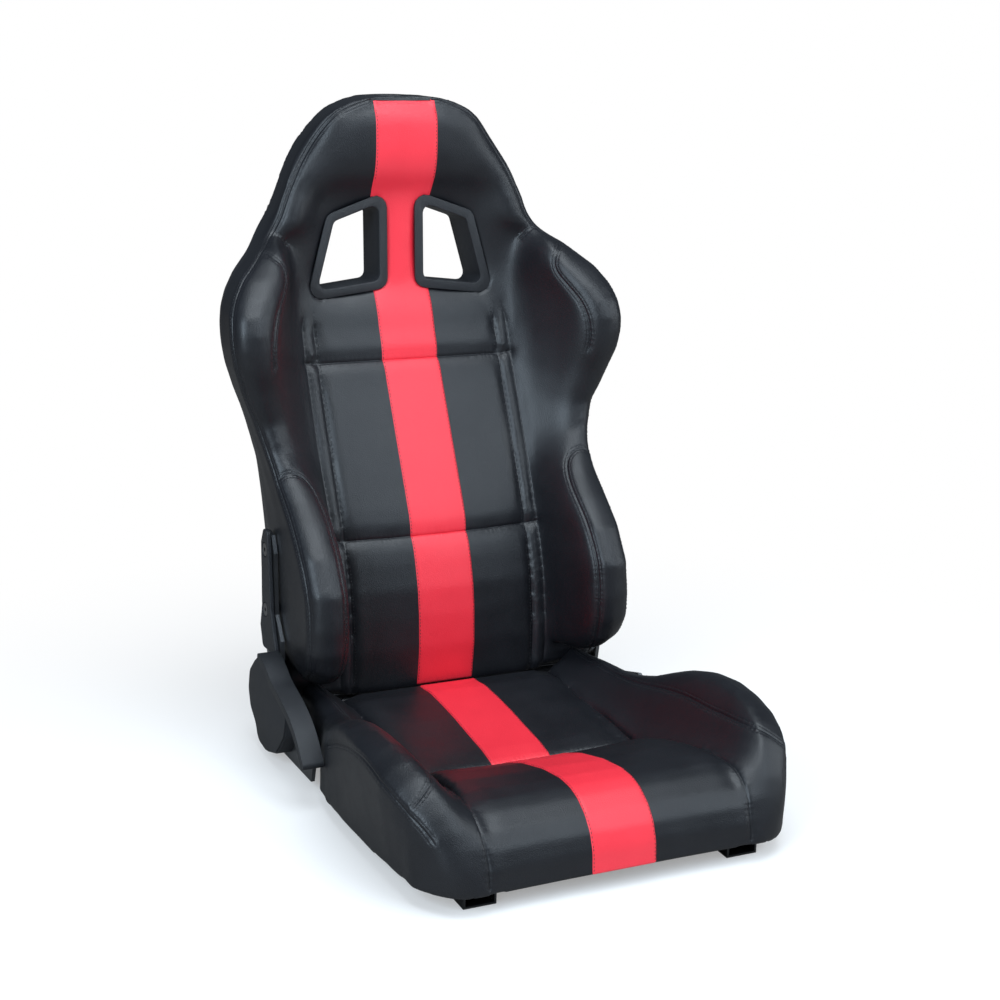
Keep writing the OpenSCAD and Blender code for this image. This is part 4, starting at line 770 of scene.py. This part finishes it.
print("strip on the headrest", round(2 * stripe_half * float(flare(0.8)), 4), "m wide")


# %% Stripes
def on_back(centre, normal):
    """The front, and on the headrest also the turn over its top."""
    steepest = 0.15 if centre.z > 0.76 else -0.25
    return normal.y < steepest and centre.y < 0.434


def on_cushion(centre, normal):
    """The top of the cushion, back from the fold."""
    return normal.z > 0.3 and centre.y > -0.02


def on_roll(centre, normal):
    """The top of the thigh roll and the turn down its front."""
    turn = normal.y < -0.3 and centre.y < -0.2
    return (normal.z > 0.1 or turn) and centre.y < 0.01


crease_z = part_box("back_insert")[0][2]
over_the_top = (0, 0.6, 0.8)
stripe_top = rim[np.argmin(np.abs(rim[:, 0]))] - 0.0014 * np.array(over_the_top)
roll_fold_y, cushion_end_y, roll_foot_z = -0.0015, 0.2335, 0.0245
stripes = {
    "back_stripe": stripe("back_stripe_strip", back_cover, on_back,
                          [((0, 0, crease_z + 0.007), (0, 0, -1)), (tuple(stripe_top), over_the_top)]),
    "seat_stripe": stripe("seat_stripe_strip", base_cover, on_cushion,
                          [((0, cushion_end_y, 0), (0, 1, 0)), ((0, roll_fold_y, 0), (0, -1, 0))]),
    "thigh_stripe": stripe("thigh_stripe_strip", base_cover, on_roll,
                           [((0, roll_fold_y, 0), (0, 1, 0)), ((0, 0, roll_foot_z), (0, 0, -1))])}
print({n: len(p.data.vertices) for n, p in stripes.items()})

# %% [markdown]
# ## Top stitching
# Beside the seams run rows of stitches that hold the seam's edges flat. They could be painted on,
# but a thread that stands up catches the light. So one stitch is modelled, a short five-sided
# thread whose pinched ends dip into the leather. It is then copied along rows that run beside the
# seams, each copy turned to the row and to the surface under it.

# %% One stitch
length, shoulder, pinch, dip = 0.0030, 0.0008, 0.45, 0.0004
bpy.ops.object.select_all(action="DESELECT")
bpy.ops.mesh.primitive_cylinder_add(vertices=5, radius=0.00042, depth=length, location=(0, 0, 0),
                                    rotation=(0, math.pi / 2, 0))
stitch = bpy.context.object
stitch.name = "one_stitch"
bpy.ops.object.transform_apply(location=True, rotation=True, scale=True)
bpy.ops.object.mode_set(mode="EDIT")
for x in (shoulder, -shoulder):
    bpy.ops.mesh.select_all(action="SELECT")
    bpy.ops.mesh.bisect(plane_co=(x, 0, 0), plane_no=(1, 0, 0))
bpy.ops.object.mode_set(mode="OBJECT")
co = points(stitch)
ends = np.abs(co[:, 0]) > 0.4 * length
co[ends, 1:] *= pinch
co[ends, 2] -= dip
place(stitch, co)
stitch_shape = points(stitch)
stitch_faces = [tuple(p.vertices) for p in stitch.data.polygons]
bpy.data.objects.remove(stitch)
print("stitch", len(stitch_shape), "points")


# %% Rows of stitches
def row_beside(curve, tree, offset):
    """A row at this distance from a seam, to its other side where the distance is negative."""
    c, n = lay(curve, tree, 1)
    moved = c + np.cross(n, tangents(c)) * offset
    hits = [tree.find_nearest(Vector(p)) for p in moved]
    return np.array([h[0] for h in hits]), np.array([h[1] for h in hits])


def row_on_each_side(curve, tree, offset):
    return [row_beside(curve, tree, offset), row_beside(curve, tree, -offset)]


def stitched(name, rows, pitch=0.0048, lift=0.0001):
    """One object with a stitch at every pitch along the rows."""
    verts, faces = [], []
    for c, n in rows:
        s = along(c)
        t = tangents(c)
        for at in np.arange(pitch, s[-1] - pitch / 2, pitch):
            k = int(np.searchsorted(s, at))
            side = np.cross(n[k], t[k])
            side /= np.linalg.norm(side)
            first = len(verts) * len(stitch_shape)
            verts.append(c[k] + n[k] * lift + stitch_shape @ np.array([t[k], side, np.cross(t[k], side)]))
            faces += [tuple(first + v for v in f) for f in stitch_faces]
    mesh = bpy.data.meshes.new(name)
    mesh.from_pydata(np.vstack(verts).tolist(), [], faces)
    piece = bpy.data.objects.new(name, mesh)
    scene.collection.objects.link(piece)
    alone(piece)
    bpy.ops.object.mode_set(mode="EDIT")
    bpy.ops.mesh.select_all(action="SELECT")
    bpy.ops.mesh.normals_make_consistent(inside=False)
    bpy.ops.object.mode_set(mode="OBJECT")
    bpy.ops.object.shade_smooth()
    print(name, len(verts), "stitches")
    return piece


def down_the_stripe(tree, x, towards, places):
    """Where rays in one direction meet the strip, above or in front of these places."""
    hits = [tree.ray_cast(Vector((x, *p)) - Vector(towards) * 0.3, Vector(towards)) for p in places]
    hits = [h for h in hits if h[0] is not None]
    return np.array([h[0] for h in hits]), np.array([h[1] for h in hits])


back_tree, base_tree = tree_of(back_cover), tree_of(base_cover)
wide, narrow = 0.0045, 0.0035
back_rows = [row_beside(rim, back_tree, wide)]
for c in low_pads + wings:
    back_rows += row_on_each_side(c, back_tree, wide)
for c in shoulders:
    back_rows += row_on_each_side(c, back_tree, narrow)
back_rows += [row_beside(c, back_tree, o) for c, o in zip(welts, (narrow, -narrow))]
base_rows = []
for c in pad_tops:
    base_rows += row_on_each_side(c, base_tree, wide)
base_rows += [row_beside(c, base_tree, o) for c, o in zip(sides, (wide, -wide))]
black_rows_back = stitched("back_stitching", back_rows)
black_rows_base = stitched("base_stitching", base_rows)

# %% [markdown]
# ## Stitches on the stripe
# Each strip is held by a row along either edge. No seam curve runs there, so rays find the rows:
# they are sent at the strip a little inside its edges, from the front or from above, and the row
# goes where they meet it.

# %% Rows on the strips
tree_back, tree_seat, tree_thigh = (tree_of(stripes[n]) for n in
                                    ("back_stripe", "seat_stripe", "thigh_stripe"))
up_the_insert = [(0.3, z) for z in np.arange(0.066, 0.566, seam_step)]
up_the_headrest = [(0.4, z) for z in np.arange(0.72, 0.820, seam_step)]
along_the_cushion = [(y, 0.1) for y in np.arange(0.001, 0.231, seam_step)]
over_the_roll = [(-0.13 - 0.8 * t, 0.05 - 0.6 * t) for t in np.arange(-0.155, 0.13, seam_step)]
stripe_rows_back, stripe_rows_base = [], []
row_x = 0.0388
for x in (-row_x, row_x):
    stripe_rows_back.append(down_the_stripe(tree_back, x, (0, 1, 0), up_the_insert))
    stripe_rows_back.append(down_the_stripe(tree_back, x * (1 + wider_on_top), (0, 1, 0), up_the_headrest))
    stripe_rows_base.append(down_the_stripe(tree_seat, x, (0, 0, -1), along_the_cushion))
    stripe_rows_base.append(down_the_stripe(tree_thigh, x, (0, 0.6, -0.8), over_the_roll))
stripe_back = stitched("back_stripe_stitching", stripe_rows_back, lift=0.0)
stripe_base = stitched("base_stripe_stitching", stripe_rows_base, lift=0.0)

# %% [markdown]
# ## Moulded plastic
# The covers, the lever and the belt-slot frames come from a mould, so none of their edges is
# sharp. Each is copied from its engineering part, its loose triangles are merged, and the sharp
# edges are bevelled. A bevel folds over itself in the inner corner of the thin arm covers, so
# these two are remeshed finely and faired instead, which rounds their edges as well.

# %% Rounded copies of the moulded parts
def moulded(node, width, segments=3, angle=32):
    piece = copy_of(node + "_moulded", node)
    bpy.ops.object.mode_set(mode="EDIT")
    bpy.ops.mesh.select_all(action="SELECT")
    bpy.ops.mesh.dissolve_limited(angle_limit=math.radians(0.5))
    bpy.ops.object.mode_set(mode="OBJECT")
    m = piece.modifiers.new("soft_edges", "BEVEL")
    m.width, m.segments, m.limit_method = width, segments, "ANGLE"
    m.angle_limit, m.use_clamp_overlap = math.radians(angle), True
    apply_modifiers(piece)
    bpy.ops.object.shade_smooth_by_angle(angle=math.radians(40))
    return piece


def pressed(node, voxel=0.0012, rounds=5):
    """A thin cover with round edges all over, also in its inner corner and its screw holes."""
    piece = copy_of(node + "_moulded", node)
    remesh(piece, voxel)
    fair(piece, rounds)
    alone(piece)
    bpy.ops.object.shade_smooth()
    return piece


body_of = {"recliner_cover_left": "seat_base", "recliner_cap_right": "seat_base",
           "recline_handle": "recline_lever"}
bevel_width = {"slot_frame_left": 0.0014, "slot_frame_right": 0.0014, "slot_ring_left": 0.0012,
               "slot_ring_right": 0.0012, "arm_cover_left": None, "arm_cover_right": None,
               "recliner_cover_left": 0.0030, "recliner_cap_right": 0.0016, "recline_handle": 0.0046}
moulded_parts = {}
for n, width in bevel_width.items():
    moulded_parts[n] = moulded(n, width) if width else pressed(n)
    finish_with(moulded_parts[n], dark_plastic)
    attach(moulded_parts[n], body_of.get(n, "backrest"))
    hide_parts(n)
print({n: len(p.data.polygons) for n, p in moulded_parts.items()})

# %% [markdown]
# ## The rear shell
# A moulded shell closes the back of the seat. It could be built again as one smooth surface, but
# its engineering part has the right outline and only lacks smoothness. So a copy is remeshed and
# faired, as the foam was.

# %% Remesh and fair the shell
shell = copy_of("rear_shell", "rear_panel")
remesh(shell, 0.004)
fair(shell, 40)
alone(shell)
bpy.ops.object.shade_smooth()
finish_with(shell, panel_plastic)
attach(shell, "backrest")
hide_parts("rear_panel")
print("rear shell", len(shell.data.polygons))

# %% [markdown]
# ## Putting the cover on
# The covers, the strips and the stitches are new objects beside the engineering parts. Each gets
# its finish here and the body that it moves with, and the engineering parts that it takes the place
# of are hidden. The stitches hide nothing, because the engineering model has none.

# %% Dress, ride and hide the parts replaced
for piece, body, nodes in ((back_cover, "backrest", back_nodes), (base_cover, "seat_base", base_nodes)):
    finish_with(piece, black_leather)
    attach(piece, body)
    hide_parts(*nodes)
for n, piece in stripes.items():
    finish_with(piece, red_leather)
    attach(piece, "backrest" if n == "back_stripe" else "seat_base")
    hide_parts(*(["back_stripe", "headrest_stripe"] if n == "back_stripe" else [n]))
for piece, body in ((black_rows_back, "backrest"), (black_rows_base, "seat_base"),
                    (stripe_back, "backrest"), (stripe_base, "seat_base")):
    finish_with(piece, seam_thread)
    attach(piece, body)
print("dressed")

# %% [markdown]
# ## Floor and light
# The seat stands on a white floor without an end. A curved paper backdrop could do this, but it
# would throw light back. Here the floor turns into plain white in the distance, for the eye alone
# and not as a lamp: no light from it reaches the seat. Near the seat it stays mostly matt and
# takes the shadow. Black leather is drawn by what it mirrors, so the sky and the floor that it
# mirrors are dim, and the soft boxes stand out as long, soft highlights.

# %% Floor
bpy.ops.mesh.primitive_plane_add(size=60, location=(0, 0, 0))
floor = bpy.context.object
floor.name = "floor"


def seen_directly(tree):
    """1 for rays from the eye or through glass; 0 for the rest."""
    path = tree.nodes.new("ShaderNodeLightPath")
    either = tree.nodes.new("ShaderNodeMath")
    either.operation = "MAXIMUM"
    tree.links.new(path.outputs["Is Camera Ray"], either.inputs[0])
    tree.links.new(path.outputs["Is Transmission Ray"], either.inputs[1])
    return either.outputs[0]


def floor_white():
    m = bpy.data.materials.new("floor_white")
    m.use_nodes = True
    t = m.node_tree
    matt = t.nodes["Principled BSDF"]
    matt.inputs["Base Color"].default_value = (0.86, 0.86, 0.86, 1)
    matt.inputs["Roughness"].default_value = 0.9
    glow = t.nodes.new("ShaderNodeEmission")
    at = t.nodes.new("ShaderNodeTexCoord")
    far = t.nodes.new("ShaderNodeVectorMath")
    far.operation = "LENGTH"
    fade = t.nodes.new("ShaderNodeMapRange")
    fade.interpolation_type = "SMOOTHSTEP"
    fade.inputs["From Min"].default_value = 0.15
    fade.inputs["From Max"].default_value = 1.15
    fade.inputs["To Min"].default_value = 0.3
    only = t.nodes.new("ShaderNodeMath")
    only.operation = "MULTIPLY"
    mix = t.nodes.new("ShaderNodeMixShader")
    t.links.new(at.outputs["Object"], far.inputs[0])
    t.links.new(far.outputs["Value"], fade.inputs["Value"])
    t.links.new(fade.outputs["Result"], only.inputs[0])
    t.links.new(seen_directly(t), only.inputs[1])
    t.links.new(only.outputs[0], mix.inputs["Fac"])
    t.links.new(matt.outputs["BSDF"], mix.inputs[1])
    t.links.new(glow.outputs["Emission"], mix.inputs[2])
    dark = t.nodes.new("ShaderNodeBsdfDiffuse")
    dark.inputs["Color"].default_value = (0.24, 0.23, 0.22, 1)
    path = t.nodes.new("ShaderNodeLightPath")
    mirrored = t.nodes.new("ShaderNodeMixShader")
    t.links.new(path.outputs["Is Glossy Ray"], mirrored.inputs["Fac"])
    t.links.new(mix.outputs["Shader"], mirrored.inputs[1])
    t.links.new(dark.outputs["BSDF"], mirrored.inputs[2])
    t.links.new(mirrored.outputs["Shader"], t.nodes["Material Output"].inputs["Surface"])
    return m


finish_with(floor, floor_white())
print("floor", floor.name)

# %% Sky
world = bpy.data.worlds.new("studio")
scene.world = world
world.use_nodes = True
wt = world.node_tree
wt.nodes.clear()


def sky(colour, strength):
    background = wt.nodes.new("ShaderNodeBackground")
    background.inputs["Color"].default_value = colour
    background.inputs["Strength"].default_value = strength
    return background


out = wt.nodes.new("ShaderNodeOutputWorld")
soft_sky = sky((0.93, 0.96, 1.0, 1), 0.45)
white_sky = sky((1, 1, 1, 1), 1.0)
mirrored_sky = sky((0.72, 0.85, 1.0, 1), 0.12)
glossy = wt.nodes.new("ShaderNodeLightPath")
dim = wt.nodes.new("ShaderNodeMixShader")
wt.links.new(glossy.outputs["Is Glossy Ray"], dim.inputs["Fac"])
wt.links.new(soft_sky.outputs["Background"], dim.inputs[1])
wt.links.new(mirrored_sky.outputs["Background"], dim.inputs[2])
pick = wt.nodes.new("ShaderNodeMixShader")
wt.links.new(seen_directly(wt), pick.inputs["Fac"])
wt.links.new(dim.outputs["Shader"], pick.inputs[1])
wt.links.new(white_sky.outputs["Background"], pick.inputs[2])
wt.links.new(pick.outputs["Shader"], out.inputs["Surface"])
print("sky", len(wt.nodes), "nodes")

# %% [markdown]
# ## Soft boxes
# Leather needs large lamps: a small one gives a hard spot, and a large one a broad, soft
# highlight that shows how the foam turns. One hangs over the seat and three stand round it. The
# strongest is on the left, and all are slightly blue, as daylight is.

# %% Lamps
def soft_box(name, at, towards, size, power, colour):
    """A lamp of this width and height, turned to a place on the seat."""
    lamp = bpy.data.lights.new(name, "AREA")
    lamp.shape, lamp.size, lamp.size_y = "RECTANGLE", size[0], size[1]
    lamp.energy, lamp.color = power, colour
    ob = bpy.data.objects.new(name, lamp)
    scene.collection.objects.link(ob)
    ob.location = at
    ob.rotation_mode = "QUATERNION"
    ob.rotation_quaternion = (Vector(towards) - Vector(at)).to_track_quat("-Z", "Y")


soft_box("top_box", (0.1, -0.5, 2.6), (0, 0.1, 0.4), (1.7, 1.7), 52, (0.84, 0.93, 1.0))
soft_box("left_box", (-2.3, -1.5, 1.7), (0, 0.1, 0.4), (1.3, 1.9), 76, (0.72, 0.87, 1.0))
soft_box("right_box", (2.4, -1.0, 1.3), (0, 0.1, 0.4), (0.9, 1.8), 20, (0.84, 0.93, 1.0))
soft_box("front_box", (1.1, -2.0, 1.9), (0, 0.2, 0.45), (1.5, 1.3), 24, (0.76, 0.89, 1.0))
scene.view_settings.view_transform = "Standard"
print("lamps", len(bpy.data.lights))
